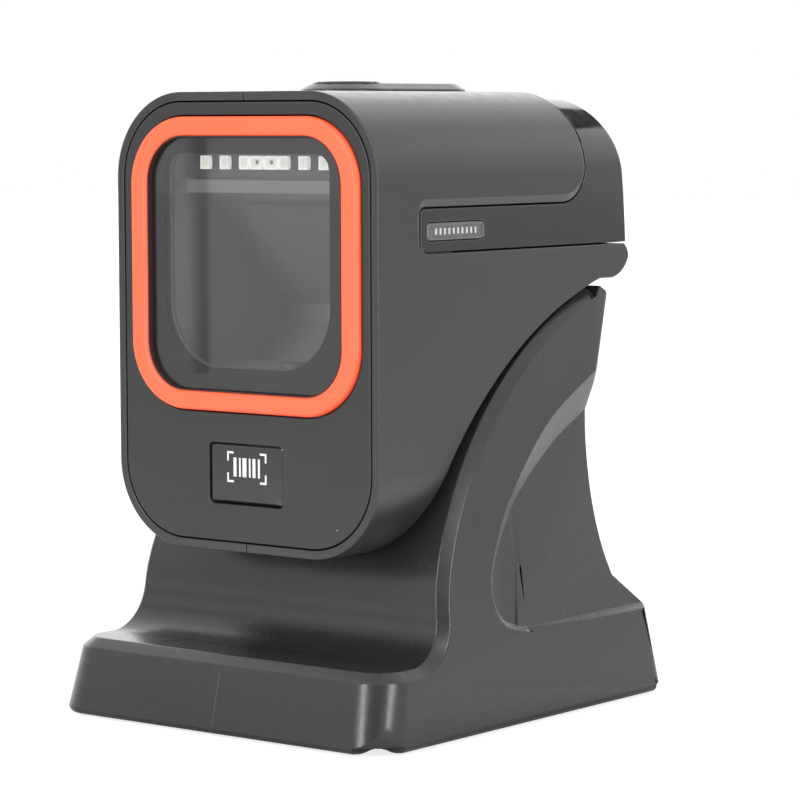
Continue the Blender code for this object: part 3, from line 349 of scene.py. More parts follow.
class Finish:
    """A Principled material patterned by object coordinates, which are the frame's metres."""

    def __init__(self, name, colour, roughness, metallic=0.0, **sockets):
        self.material = bpy.data.materials.new(name)
        self.material.use_nodes = True
        self.tree = self.material.node_tree
        self.shader = self.tree.nodes["Principled BSDF"]
        self.colour = colour
        self.roughness = roughness
        self.shader.inputs["Base Color"].default_value = (*colour, 1.0)
        self.shader.inputs["Roughness"].default_value = roughness
        self.shader.inputs["Metallic"].default_value = metallic
        for socket, value in sockets.items():
            self.shader.inputs[socket.replace("_", " ")].default_value = value
        self.material.diffuse_color = (*colour, 1.0)
        self.place = self.node("ShaderNodeTexCoord").outputs["Object"]
        self.normal = None

    def node(self, kind, **inputs):
        """A node with some of its sockets set or linked, by name."""
        made = self.tree.nodes.new(kind)
        for name, value in inputs.items():
            socket = made.inputs[name.replace("_", " ")]
            if isinstance(value, bpy.types.NodeSocket):
                self.tree.links.new(value, socket)
            else:
                socket.default_value = value
        return made

    def noise(self, scale, detail=2.0, roughness=0.5):
        return self.node("ShaderNodeTexNoise", Vector=self.place, Scale=scale, Detail=detail,
                         Roughness=roughness).outputs["Fac"]

    def remap(self, value, low, high, to_low, to_high):
        return self.node("ShaderNodeMapRange", Value=value, From_Min=low, From_Max=high, To_Min=to_low,
                         To_Max=to_high).outputs["Result"]

    def mix(self, factor, a, b):
        """A blend of two colours, each a socket or three numbers."""
        made = self.tree.nodes.new("ShaderNodeMix")
        made.data_type = "RGBA"
        for index, value in ((0, factor), (6, a), (7, b)):
            if isinstance(value, bpy.types.NodeSocket):
                self.tree.links.new(value, made.inputs[index])
            else:
                made.inputs[index].default_value = (*value, 1.0) if index else value
        return made.outputs[2]

    def set(self, socket, value):
        self.tree.links.new(value, self.shader.inputs[socket])

    def shade(self, scale, amount):
        """Slow, slight changes of colour."""
        dark, light = (tuple(c * (1 + sign * amount) for c in self.colour) for sign in (-1, 1))
        return self.mix(self.remap(self.noise(scale), 0.35, 0.65, 0.0, 1.0), dark, light)

    def vary_roughness(self, scale, amount):
        low, high = self.roughness - amount, self.roughness + amount
        self.set("Roughness", self.remap(self.noise(scale, 3.0), 0.3, 0.7, low, high))

    def bump(self, height, strength, distance):
        made = self.node("ShaderNodeBump", Height=height, Strength=strength, Distance=distance)
        if self.normal:
            self.tree.links.new(self.normal, made.inputs["Normal"])
        self.normal = made.outputs["Normal"]
        self.set("Normal", self.normal)

    def specks(self, colour, scale, radius, share, tint):
        """Sparse dust specks over a colour."""
        cells = self.node("ShaderNodeTexVoronoi", Vector=self.place, Scale=scale)
        near = self.remap(cells.outputs["Distance"], radius * 0.6, radius, 1.0, 0.0)
        parts = self.node("ShaderNodeSeparateColor", Color=cells.outputs["Color"])
        chosen = self.remap(parts.outputs["Red"], share, share + 0.01, 1.0, 0.0)
        return self.mix(product(self.tree, near, chosen), colour, tint)

    def worn_and_edge_highlight(self, colour, amount):
        """Edges a little lighter: partly wear from handling, partly a painted edge highlight."""
        sharp = self.node("ShaderNodeNewGeometry").outputs["Pointiness"]
        scuffed_and_highlit = self.remap(sharp, 0.505, 0.56, 0.0, amount)
        return self.mix(scuffed_and_highlit, colour, tuple(min(c * 2.2, 1.0) for c in self.colour))


def moulded(name, colour, roughness, grain, strength, dust=0.12, worn_and_edge_highlight=0.5, **sockets):
    """Moulded plastic with a spark-eroded grain; grain is its size in millimetres."""
    f = Finish(name, colour, roughness, **sockets)
    # Lighter edges: wear, and a painted edge highlight.
    tone = f.worn_and_edge_highlight(f.shade(22.0, 0.05), worn_and_edge_highlight)
    if dust:
        tone = f.specks(tone, 150.0, 0.030, dust, (0.45, 0.45, 0.45))
    f.set("Base Color", tone)
    f.vary_roughness(400.0, 0.03)
    f.bump(f.noise(1.0 / (grain * MM), 3.0, 0.6), strength, grain * 0.25 * MM)
    f.bump(f.noise(90.0, 1.0), 0.03, 0.0004)
    return f.material


def floor_finish():
    """White paper with a glow that keeps it as pale as the backdrop. In what the scanner reflects and is lit by, the
    glow is painted darker close round the scanner, a painted contact shadow, and fainter far out.
    """
    f = Finish("floor_white", (0.25, 0.25, 0.25), 0.8)
    f.set("Base Color", f.shade(3.0, 0.01))
    f.vary_roughness(8.0, 0.05)
    f.shader.inputs["Emission Color"].default_value = (*WHITE, 1.0)
    away = f.node("ShaderNodeVectorMath", Vector=f.place)
    away.operation = "LENGTH"
    # Painted contact shadow: for rays that are not the camera's, the glow drops close round the scanner.
    near = f.remap(away.outputs["Value"], 0.06, 0.12, 0.20, 1.05)
    far = f.remap(away.outputs["Value"], 0.50, 0.90, 1.0, 0.30)
    seen = f.node("ShaderNodeLightPath").outputs["Is Camera Ray"]
    glow = f.node("ShaderNodeMapRange", Value=seen, To_Min=product(f.tree, near, far), To_Max=FLOOR_SEEN)
    f.set("Emission Strength", glow.outputs["Result"])
    return f.material


def varied(f, shade, roughness, grain):
    """Gives a finish slow changes of colour and roughness, and a fine grain."""
    f.set("Base Color", f.shade(*shade))
    f.vary_roughness(*roughness)
    scale, strength, distance = grain
    f.bump(f.noise(scale, 2.0), strength, distance)
    return f.material


def orange_finish():
    f = Finish("orange_plastic", (0.92, 0.100, 0.034), 0.42)
    return varied(f, (30.0, 0.02), (70.0, 0.05), (3500.0, 0.12, 0.00006))


def window_finish():
    """Clear hard-coated acrylic: see-through, with a bright reflection on its face."""
    f = Finish("window_acrylic", (0.010, 0.010, 0.011), 0.03, Alpha=0.2, IOR=3.2)
    f.set("Base Color", f.shade(15.0, 0.1))
    f.set("Roughness", f.remap(f.noise(40.0, 4.0), 0.4, 0.8, 0.02, 0.045))
    f.bump(f.noise(30.0, 1.0), 0.01, 0.0001)
    return f.material


def glowing(material, colour, strength):
    """Adds a little painted light: an even glow on a part that is no lamp, standing in for light scattered inside the
    head.
    """
    shader = material.node_tree.nodes["Principled BSDF"]
    shader.inputs["Emission Color"].default_value = (*colour, 1.0)
    shader.inputs["Emission Strength"].default_value = strength
    return material


def pale(name, albedo, glow):
    """Grey plastic inside the head, with a painted glow standing in for the light that comes in through the window.
    """
    return glowing(moulded(name, (albedo,) * 3, 0.50, 0.40, 0.15, dust=0.0, worn_and_edge_highlight=0.0), WHITE, glow)


def metal_finish(name, colour, roughness):
    return varied(Finish(name, colour, roughness, 1.0), (60.0, 0.06), (250.0, 0.08), (2200.0, 0.08, 0.00005))


def board_finish():
    """Green solder mask over faint copper tracks."""
    f = Finish("circuit_board", (0.012, 0.075, 0.035), 0.35)
    lines = f.node("ShaderNodeTexBrick", Vector=f.place, Scale=260.0, Mortar_Size=0.03)
    f.set("Base Color", f.mix(lines.outputs["Fac"], (0.012, 0.075, 0.035), (0.03, 0.16, 0.07)))
    f.vary_roughness(120.0, 0.06)
    f.bump(lines.outputs["Fac"], 0.1, 0.00005)
    return f.material


def lens_finish(name, colour, roughness):
    f = Finish(name, colour, roughness, Subsurface_Weight=0.25, Subsurface_Radius=(0.002, 0.002, 0.002))
    return varied(f, (200.0, 0.06), (300.0, 0.06), (2500.0, 0.1, 0.00005))


# ---- outlines

def arc(centre, radius, start, end, steps):
    """Points on an arc, with angles in degrees."""
    angles = (math.radians(start + (end - start) * i / steps) for i in range(steps + 1))
    return [(centre[0] + radius * math.cos(a), centre[1] + radius * math.sin(a)) for a in angles]


def bezier(corners, steps):
    """Points on a cubic curve between two places."""
    points = []
    for i in range(steps + 1):
        t = i / steps
        weights = ((1 - t) ** 3, 3 * t * (1 - t) ** 2, 3 * t * t * (1 - t), t ** 3)
        points.append(tuple(sum(w * c[k] for w, c in zip(weights, corners)) for k in range(2)))
    return points


def smooth(points, steps=8):
    """An open Catmull-Rom curve through the points."""
    ends = [points[0], *points, points[-1]]
    out = []
    for a, b, c, d in zip(ends, ends[1:], ends[2:], ends[3:]):
        for i in range(steps):
            t = i / steps
            out.append(tuple(
                0.5 * (2 * b[k] + (c[k] - a[k]) * t + (2 * a[k] - 5 * b[k] + 4 * c[k] - d[k]) * t * t
                       + (3 * b[k] - a[k] - 3 * c[k] + d[k]) * t ** 3)
                for k in range(2)))
    out.append(tuple(points[-1]))
    return out


def rounded_box(box, corners, steps):
    """A rectangle with rounded corners: one radius, or four from low left round to high left."""
    low_x, high_x, low_y, high_y = box
    radii = corners if isinstance(corners, tuple) else (corners,) * 4
    places = (
        (low_x + radii[0], low_y + radii[0], 180),
        (high_x - radii[1], low_y + radii[1], 270),
        (high_x - radii[2], high_y - radii[2], 0),
        (low_x + radii[3], high_y - radii[3], 90),
    )
    points = []
    for (x, y, start), radius in zip(places, radii):
        points += arc((x, y), radius, start, start + 90, steps) if radius else [(x, y)]
    return points


def grown(box, by):
    """A low x, high x, low y, high y box with every side moved out."""
    return (box[0] - by, box[1] + by, box[2] - by, box[3] + by)


def offset_path(points, distance):
    """An open path moved sideways; positive is to the left of its direction."""
    out = []
    points = [Vector(point) for point in points]
    for before, here, after in zip([points[0], *points], points, [*points[1:], points[-1]]):
        steps = [b - a for a, b in ((before, here), (here, after))]
        normals = [Vector((-step.y, step.x)).normalized() for step in steps if step.length > 0]
        mean = sum(normals, Vector((0.0, 0.0))).normalized()
        reach = distance / max(mean.dot(normals[0]), 0.5)
        out.append(tuple(here + mean * reach))
    return out


# ---- solids

def mesh_from(bm):
    """A mesh from a bmesh, its faces turned outwards."""
    bmesh.ops.recalc_face_normals(bm, faces=bm.faces)
    if bm.calc_volume(signed=True) < 0:
        bmesh.ops.reverse_faces(bm, faces=bm.faces)
    mesh = bpy.data.meshes.new("solid")
    bm.to_mesh(mesh)
    bm.free()
    return mesh


def plate_bmesh(loops, plane, low, high):
    """A flat outline, with holes after the first loop, as a plate between two heights."""
    curve = bpy.data.curves.new("outline", "CURVE")
    curve.dimensions = "2D"
    curve.fill_mode = "BOTH"
    curve.extrude = (high - low) / 2 * MM
    for loop in loops:
        spline = curve.splines.new("POLY")
        spline.points.add(len(loop) - 1)
        for point, (x, y) in zip(spline.points, loop):
            point.co = (x * MM, y * MM, 0.0, 1.0)
        spline.use_cyclic_u = True
    holder = linked("outline", curve)
    flat = bpy.data.meshes.new_from_object(holder.evaluated_get(bpy.context.evaluated_depsgraph_get()))
    bpy.data.objects.remove(holder)
    bpy.data.curves.remove(curve)
    bm = bmesh.new()
    bm.from_mesh(flat)
    bpy.data.meshes.remove(flat)
    bmesh.ops.remove_doubles(bm, verts=bm.verts, dist=WELD)
    turn = PLANES[plane]
    middle = (low + high) / 2 * MM
    shift = turn @ Vector((0.0, 0.0, -middle if plane == "XZ" else middle))
    bmesh.ops.transform(bm, matrix=Matrix.Translation(shift) @ turn.to_4x4(), verts=bm.verts)
    return bm


def plate(loops, plane, low, high):
    return mesh_from(plate_bmesh(loops, plane, low, high))


def block(low, high):
    """A box between two corners, in either order."""
    bm = bmesh.new()
    bmesh.ops.create_cube(bm, size=1.0)
    bmesh.ops.scale(bm, vec=[abs(b - a) * MM for a, b in zip(low, high)], verts=bm.verts)
    bmesh.ops.translate(bm, vec=[(a + b) / 2 * MM for a, b in zip(low, high)], verts=bm.verts)
    return mesh_from(bm)


def turned(profile, y):
    """A solid of revolution from (radius, height) points round the upright axis at a y."""
    bm = bmesh.new()
    verts = [bm.verts.new((r * MM, 0.0, h * MM)) for r, h in profile]
    edges = [bm.edges.new(pair) for pair in zip(verts, verts[1:])]
    bmesh.ops.spin(bm, geom=verts + edges, cent=(0, 0, 0), axis=(0, 0, 1), angle=math.tau, steps=64)
    bmesh.ops.remove_doubles(bm, verts=bm.verts, dist=WELD)
    bmesh.ops.transform(bm, matrix=Matrix.Translation(Vector((0.0, y, 0.0)) * MM), verts=bm.verts)
    return mesh_from(bm)


def skin(bm, loops):
    """Faces from each closed loop of vertices to the next, all of equal length."""
    for a, b in zip(loops, loops[1:]):
        for i in range(len(a)):
            j = (i + 1) % len(a)
            bm.faces.new((a[i], a[j], b[j], b[i]))


def rounding(radius, steps):
    """A quarter round from side to face, as (distance from the side, distance below the face) points."""
    angles = [math.pi / 2 * i / steps for i in range(steps + 1)]
    return [(radius * (1 - math.cos(a)), radius * (1 - math.sin(a))) for a in angles]


def lofted(rings):
    """A closed solid through rings of equal length, in millimetres."""
    bm = bmesh.new()
    loops = [[bm.verts.new(Vector(p) * MM) for p in ring] for ring in rings]
    skin(bm, loops)
    bm.faces.new(reversed(loops[0]))
    bm.faces.new(loops[-1])
    bmesh.ops.triangulate(bm, faces=bm.faces)
    return mesh_from(bm)


def soft_plate(outlines, plane, front, back, radius, steps=4, sides=24):
    """A plate of rounded boxes, holes after the first, whose front edges are rounded by a radius."""
    toward = 1.0 if back > front else -1.0
    turn = PLANES[plane]
    axis = (turn @ Vector((0.0, 0.0, 1.0))).normalized()
    rings = [(0.0, back), *((inset, front + toward * drop) for inset, drop in rounding(radius, steps))]
    strips = []
    for number, (box, corner) in enumerate(outlines):
        sign = -1.0 if number == 0 else 1.0
        radii = corner if isinstance(corner, tuple) else (corner,) * 4
        tracks = []
        for inset, depth in rings:
            corners = tuple(max(c + sign * inset, 0.05) for c in radii)
            tracks.append((rounded_box(grown(box, sign * inset), corners, sides), depth))
        strips.append(tracks)
    bm = bmesh.new()
    for number, keep in ((-1, front), (0, back)):
        outline = [tracks[number][0] for tracks in strips]
        source = plate_bmesh(outline, plane, *sorted((keep, (front + back) / 2)))
        level = abs(keep) * MM
        for f in list(source.faces):
            if any(abs(abs(v.co.dot(axis)) - level) > 10 * WELD for v in f.verts):
                source.faces.remove(f)
        held = bpy.data.meshes.new("held")
        source.to_mesh(held)
        source.free()
        bm.from_mesh(held)
        bpy.data.meshes.remove(held)
    for tracks in strips:
        loops = []
        for points, depth in tracks:
            height = -depth if plane == "XZ" else depth
            loops.append([bm.verts.new(turn @ Vector((x, y, height)) * MM) for x, y in points])
        skin(bm, loops)
    loose = [v for v in bm.verts if not v.link_faces]
    bmesh.ops.delete(bm, geom=loose, context="VERTS")
    bmesh.ops.remove_doubles(bm, verts=bm.verts, dist=WELD)
    return mesh_from(bm)


def band(outer, inner, front, back, radius, steps=6, sides=24):
    """A ring between two rounded boxes, facing forward, with both front edges rounded."""
    loops = [rounded_box(box, corner, sides) for box, corner in (outer, inner)]
    width = abs(outer[0][0] - inner[0][0])
    profile = [(0.0, back), *((inset / width, front + drop) for inset, drop in rounding(radius, steps))]
    profile += [(1.0 - s, y) for s, y in reversed(profile)]
    bm = bmesh.new()
    tracks = []
    for share, y in profile:
        tracks.append([bm.verts.new(Vector((a[0] + (b[0] - a[0]) * share, y, a[1] + (b[1] - a[1]) * share)) * MM)
                       for a, b in zip(*loops)])
    skin(bm, [*tracks, tracks[0]])
    return mesh_from(bm)


def joined(meshes):
    """Several meshes as one."""
    bm = bmesh.new()
    for mesh in meshes:
        bm.from_mesh(mesh)
        bpy.data.meshes.remove(mesh)
    return mesh_from(bm)


def carved(mesh, keep=(), cut=()):
    """A mesh cut down to what it shares with each kept one, and then without each cut one."""
    target = linked("target", mesh)
    tools = []
    steps = [*(("INTERSECT", other) for other in keep), *(("DIFFERENCE", other) for other in cut)]
    for i, (operation, tool_mesh) in enumerate(steps):
        tool = linked(f"tool_{i}", tool_mesh)
        tools.append(tool)
        modifier = target.modifiers.new(tool.name, "BOOLEAN")
        modifier.operation = operation
        modifier.solver = "EXACT"
        modifier.object = tool
    result = bpy.data.meshes.new_from_object(target.evaluated_get(bpy.context.evaluated_depsgraph_get()))
    for made in (target, *tools):
        bpy.data.objects.remove(made)
    bm = bmesh.new()
    bm.from_mesh(result)
    bmesh.ops.remove_doubles(bm, verts=bm.verts, dist=0.00002)
    bmesh.ops.dissolve_degenerate(bm, edges=bm.edges, dist=0.00001)
    bmesh.ops.dissolve_limit(bm, angle_limit=math.radians(0.1), verts=bm.verts, edges=bm.edges)
    bm.to_mesh(result)
    bm.free()
    return result


def mark_creases(mesh, upper):
    """Smooth shading, with sharp edges where faces turn by more than CREASE and less than upper degrees."""
    mesh.shade_smooth()
    bm = bmesh.new()
    bm.from_mesh(mesh)
    for edge in bm.edges:
        turn = math.degrees(edge.calc_face_angle(0.0))
        edge.smooth = not CREASE < turn < upper
    bm.to_mesh(mesh)
    bm.free()


def piece(name, mesh, finish, stands_for=(), body="head", edge=0.0, segments=3):
    """A visible piece that rides on a body, with its edges rounded by edge millimetres."""
    made = linked(name, mesh)
    mesh.materials.clear()
    mesh.materials.append(finishes[finish])
    mark_creases(mesh, ROUND_ANGLE if edge else 180)
    if edge:
        bevel = made.modifiers.new("edge_round", "BEVEL")
        bevel.width = edge * MM
        bevel.segments = segments
        bevel.limit_method = "ANGLE"
        bevel.angle_limit = math.radians(ROUND_ANGLE)
        bevel.use_clamp_overlap = False
        bevel.miter_outer = "MITER_ARC"
    weighted = made.modifiers.new("face_normals", "WEIGHTED_NORMAL")
    weighted.keep_sharp = True
    weighted.weight = 60
    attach(made, body)
    if stands_for:
        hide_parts(*stands_for)


# ---- base

def side_x(z, inset=0.0):
    """Half the base's width at a height."""
    return BASE_HALF_WIDTH - inset - BASE_DRAFT * z


def top_path(steps):
    """The surface seen from the front: lip, tray, fillet and neck."""
    fillet = arc((TRAY_END, FRONT_LIP[1] + TRAY_FILLET), TRAY_FILLET, -90, -4, steps)
    return [FRONT_LIP, *fillet, *bezier(NECK, steps * 3)]


def profile_edges(bm, path):
    """Edges of the two side faces that run along a stretch of the profile."""
    def at(vert, place):
        return math.hypot(vert.co.y - place[0] * MM, vert.co.z - place[1] * MM) < 4 * WELD

    found = []
    for edge in bm.edges:
        a, b = edge.verts
        if a.co.x * b.co.x < 0:
            continue
        for start, end in zip(path, path[1:]):
            if (at(a, start) and at(b, end)) or (at(a, end) and at(b, start)):
                found.append(edge)
    return found


def base_block(inset, steps):
    """The base's outer block, or its cavity when inset, which reaches down through the bottom."""
    top = top_path(steps)
    rear = [NECK_REAR_TOP, *bezier(WAIST, steps), REAR_LIP, REAR_FOOT]
    outline = [FRONT_FOOT, *top, *rear]
    path = offset_path(outline, -inset) if inset else outline
    front, back = path[:2], path[1 + len(top):]
    if inset:
        path = [(path[0][0], CAVITY_LOW), *path, (path[-1][0], CAVITY_LOW)]
        front = path[:3]
    bm = plate_bmesh([path], "YZ", -1.0, 1.0)
    for vert in bm.verts:
        vert.co.x = math.copysign(side_x(vert.co.z / MM, inset) * MM, vert.co.x)
    bmesh.ops.dissolve_limit(bm, angle_limit=math.radians(0.1), verts=bm.verts, edges=bm.edges)
    bmesh.ops.bevel(bm, geom=profile_edges(bm, front), offset=(FRONT_CORNER - inset) * MM, segments=steps,
                    profile=0.5, affect="EDGES")
    if not inset:
        bmesh.ops.bevel(bm, geom=profile_edges(bm, back), offset=REAR_CORNER * MM, segments=5, profile=0.5,
                        affect="EDGES")
        chamfer_top(bm)
        round_bottom(bm, 9)
    return mesh_from(bm)


def round_bottom(bm, steps):
    """The quarter round under the base's edge, in equal steps."""
    bm.normal_update()
    floor = min(bm.faces, key=lambda f: f.calc_center_median().z)
    for i in range(steps):
        before, after = (math.radians(90 * k / steps) for k in (i, i + 1))
        inward = BOTTOM_ROUND * MM * (math.cos(before) - math.cos(after))
        down = BOTTOM_ROUND * MM * (math.sin(after) - math.sin(before))
        bmesh.ops.inset_region(bm, faces=[floor], thickness=inward, depth=down, use_even_offset=True)


def chamfer_top(bm):
    """The flat chamfer round the tray's edge and up the neck's front."""
    bm.normal_update()
    rim = []
    for edge in bm.edges:
        if len(edge.link_faces) != 2 or max(v.co.y for v in edge.verts) > (NECK[3][0] - 0.5) * MM:
            continue
        if min(v.co.z for v in edge.verts) < (FRONT_LIP[1] - 1.0) * MM:
            continue
        facing = [abs(f.normal.x) for f in edge.link_faces]
        front_top = all(abs(v.co.y - FRONT_LIP[0] * MM) < FRONT_CORNER * MM for v in edge.verts)
        if (max(facing) > 0.5 and min(facing) < 0.1) or (front_top and edge.calc_face_angle(0) > 0.9):
            rim.append(edge)
    bmesh.ops.bevel(bm, geom=rim, offset=EDGE_CHAMFER * MM, segments=1, profile=0.5, affect="EDGES")


def scoop_cutter(side):
    """A solid that cuts one side's scoop: its rim lies on the drafted side, its floor is flat."""
    rim = [*smooth(SCOOP_RIM), (SCOOP_REAR, SCOOP_RIM[-1][1]), (SCOOP_REAR, SCOOP_RIM[0][1] + SCOOP_RIM_RISE)]
    floor = [*smooth(SCOOP_FLOOR), (SCOOP_REAR, SCOOP_FLOOR[-1][1]),
             (SCOOP_REAR, SCOOP_FLOOR[0][1] + SCOOP_FLOOR_RISE)]
    outer, inner = [], []
    for (rim_y, rim_z), (floor_y, floor_z) in zip(rim, floor):
        depth = max(SCOOP_BASE_DEPTH + SCOOP_SLOPE_Y * floor_y + SCOOP_SLOPE_Z * floor_z, SCOOP_MIN_DEPTH)
        inside = Vector((side_x(floor_z, depth), floor_y, floor_z))
        surface = Vector((side_x(rim_z), rim_y, rim_z))
        outside = surface + (surface - inside) / depth
        for point, ring in ((outside, outer), (inside, inner)):
            ring.append((side * point.x, point.y, point.z))
    return lofted([outer, inner])


def scoop_backing(side):
    """Material left behind a scoop, so that the wall keeps its thickness there."""
    outline = offset_path([*smooth(SCOOP_RIM, 2), (SCOOP_REAR, SCOOP_RIM[-1][1])], -3.0)
    outline.append((SCOOP_REAR, SCOOP_RIM[0][1] + SCOOP_BACKING_RISE))
    bm = plate_bmesh([outline], "YZ", -1.0, 1.0)
    for vert in bm.verts:
        depth = SCOOP_BASE_DEPTH + SCOOP_SLOPE_Y * vert.co.y / MM + SCOOP_SLOPE_Z * vert.co.z / MM
        shift = -BASE_WALL - max(depth, SCOOP_MIN_DEPTH) if vert.co.x < 0 else 5.0
        vert.co.x = side * (side_x(vert.co.z / MM) + shift) * MM
    return mesh_from(bm)


def build_base():
    """Tray and neck, with scoops, ear slots and the cable socket's opening."""
    cuts = [carved(base_block(BASE_WALL, 6), cut=[scoop_backing(1), scoop_backing(-1)])]
    low_y, high_y, low_z, high_z = EAR_SLOT
    for side in (1, -1):
        slot = block((side * (EAR_INNER - EAR_SLOT_GAP), low_y, low_z),
                     (side * (EAR_OUTER + EAR_SLOT_GAP), high_y, high_z))
        cuts += [scoop_cutter(side), slot]
    shell = carved(base_block(0.0, 16), cut=[*cuts, block(*SOCKET_OPENING)])
    piece("base_body", shell, "base", ["base_shell"], "base", edge=0.3, segments=2)
    foot, lip = (Vector(point) for point in (FRONT_FOOT, FRONT_LIP))
    low, high = foot.lerp(lip, 0.02), foot.lerp(lip, 0.80)
    out = Vector((foot.y - lip.y, lip.x - foot.x)).normalized() * 0.06
    seam = plate([[tuple(p) for p in (low - out, low + out, high + out, high - out)]], "YZ", 0.17, 0.33)
    piece("base_mould_line", seam, "seam", body="base")


# ---- head

def neck_path():
    return bezier(NECK, 44)


def head_section(inset, front):
    """The rounded tunnel, front to rear."""
    box = grown((-HEAD_HALF_WIDTH, HEAD_HALF_WIDTH, HEAD_LOW, HEAD_HIGH), -inset)
    return plate([rounded_box(box, HEAD_CORNER - inset, 24)], "XZ", front, HEAD_REAR + 10.0)


def head_side(inset, front):
    """The head seen from the side: it clears the neck's sweep and ends in a rounded beak."""
    under = offset_path([*neck_path(), *BEAK[:1]], HEAD_OVER_NECK + inset)[:-1]
    beak = BEAK_INSIDE if inset else smooth(BEAK, 6)
    path = [(under[0][0], 20.0), *under, *beak, (beak[-1][0], 170.0), (front, 170.0), (front, 20.0)]
    return plate([path], "YZ", -60.0, 60.0)


def cover_region(grow):
    """The side view of all that belongs to the rear cover: the back and the two tongues."""
    low, high, front = TONGUE_LOW - grow, TONGUE_HIGH + grow, TONGUE_FRONT - grow
    radius = TONGUE_ROUND + grow
    path = [*arc((front + radius, high - radius), radius, 90, 180, 6),
            *arc((front + radius, low + radius), radius, 180, 270, 6),
            (80.0, low), (80.0, 180.0), (HOOD_END - grow, 180.0),
            *arc((HOOD_END - HOOD_ROUND, TONGUE_HIGH + HOOD_ROUND), HOOD_ROUND - grow, 0, -90, 14)]
    return plate([path], "YZ", -60.0, 60.0)


def on_head(u, y, depth):
    """A point under the head's right side; u runs up and round the section from the corner's start."""
    x, z = HEAD_HALF_WIDTH - HEAD_CORNER, HEAD_HIGH - HEAD_CORNER
    radius = HEAD_CORNER - depth
    if u <= 0:
        return (x + radius, y, z + u)
    angle = u / HEAD_CORNER
    if angle <= math.pi / 2:
        return (x + radius * math.cos(angle), y, z + radius * math.sin(angle))
    return (x - (u - HEAD_CORNER * math.pi / 2), y, z + radius)


def pocket_wedge(side):
    """What the slope round the cover's pocket takes away, round the tongue and over the hood."""
    base = HEAD_HIGH - HEAD_CORNER
    r = TONGUE_ROUND
    path = [(TONGUE_FRONT, TONGUE_LOW + r), *arc((TONGUE_FRONT + r, TONGUE_HIGH - r), r, 180, 90, 6),
            (0.0, TONGUE_HIGH),
            *arc((HOOD_END - HOOD_ROUND, TONGUE_HIGH + HOOD_ROUND), HOOD_ROUND, -90, 0, 16)]
    path = [(y, z - base) for y, z in path]
    end = HEAD_CORNER * math.pi / 2
    path += [(HOOD_END, end * i / 24) for i in range(4, 25)]
    path.append((HOOD_END, end + HEAD_HALF_WIDTH - HEAD_CORNER + 1.0))
    slope = POCKET_DEPTH / POCKET_CHAMFER
    out = 1.0
    profile = ((0.06, POCKET_DEPTH), (POCKET_CHAMFER + out / slope, -out), (0.06, -out))
    tracks = [offset_path(path, grow) for grow, _ in profile]
    rings = []
    for points in zip(*tracks):
        ring = [on_head(u, y, depth) for (y, u), (_, depth) in zip(points, profile)]
        rings.append([(side * x, y, z) for x, y, z in ring])
    return lofted(rings)


def button_well():
    """The round well in the head's top that the button stands in."""
    radius = BUTTON_RADIUS + GAP
    return turned([(0.0, WELL_LOW), (radius, WELL_LOW), (radius, WELL_HIGH), (0.0, WELL_HIGH)], BUTTON_Y)


def build_head_shells():
    """Two mirrored halves of the housing, with a parting line on the middle plane."""
    cavity = carved(head_section(HEAD_WALL, HEAD_FRONT - 5.0), [head_side(HEAD_WALL, HEAD_FRONT - 10.0)])
    well = button_well()
    for side, label in SIDES:
        ear = block((side * (EAR_INNER - GAP), HINGE[0] - EAR_RADIUS - GAP, 90.0),
                    (side * (EAR_OUTER + GAP), HINGE[0] + EAR_RADIUS + GAP, 110.0))
        half = block((side * MIDDLE_GAP, -80.0, 0.0), (side * 80.0, 80.0, 200.0))
        shell = carved(head_section(0.0, HEAD_FRONT), [head_side(0.0, HEAD_FRONT - 10.0), half],
                       [cavity, cover_region(SPLIT_GAP), pocket_wedge(side), ear, well])
        piece(f"head_housing_{label}", shell, "head", [f"head_shell_{label}"],
              edge=0.3, segments=3)


def cover_solid(inset):
    """The cover's skin, filled: the section cut by a back that turns over into the top."""
    back = smooth(COVER_BACK, 4)
    if inset:
        back = offset_path(COVER_BACK, inset)
    path = [(-60.0, 90.0), (back[0][0], 90.0), *back, (-60.0, COVER_TOP - inset)]
    section = head_section(COVER_INSET + inset, HEAD_FRONT - inset)
    return carved(section, [plate([path], "YZ", -60.0, 60.0)])


def build_rear_cover():
    """The glossy back, with a tongue forward along each side and a window for each light bar."""
    region = cover_region(-SPLIT_GAP)
    cuts = [cover_solid(COVER_WALL)]
    for side in (1, -1):
        window = rounded_box(grown(STATUS_LENS, LENS_GAP), STATUS_LENS_CORNER + LENS_GAP, 8)
        cuts.append(plate([window], "YZ", *sorted((side * 30.0, side * 45.0))))
    piece("rear_cover_glossy", carved(cover_solid(0.0), [region], cuts), "gloss",
          ["rear_cover"], edge=0.3, segments=3)


# ---- front

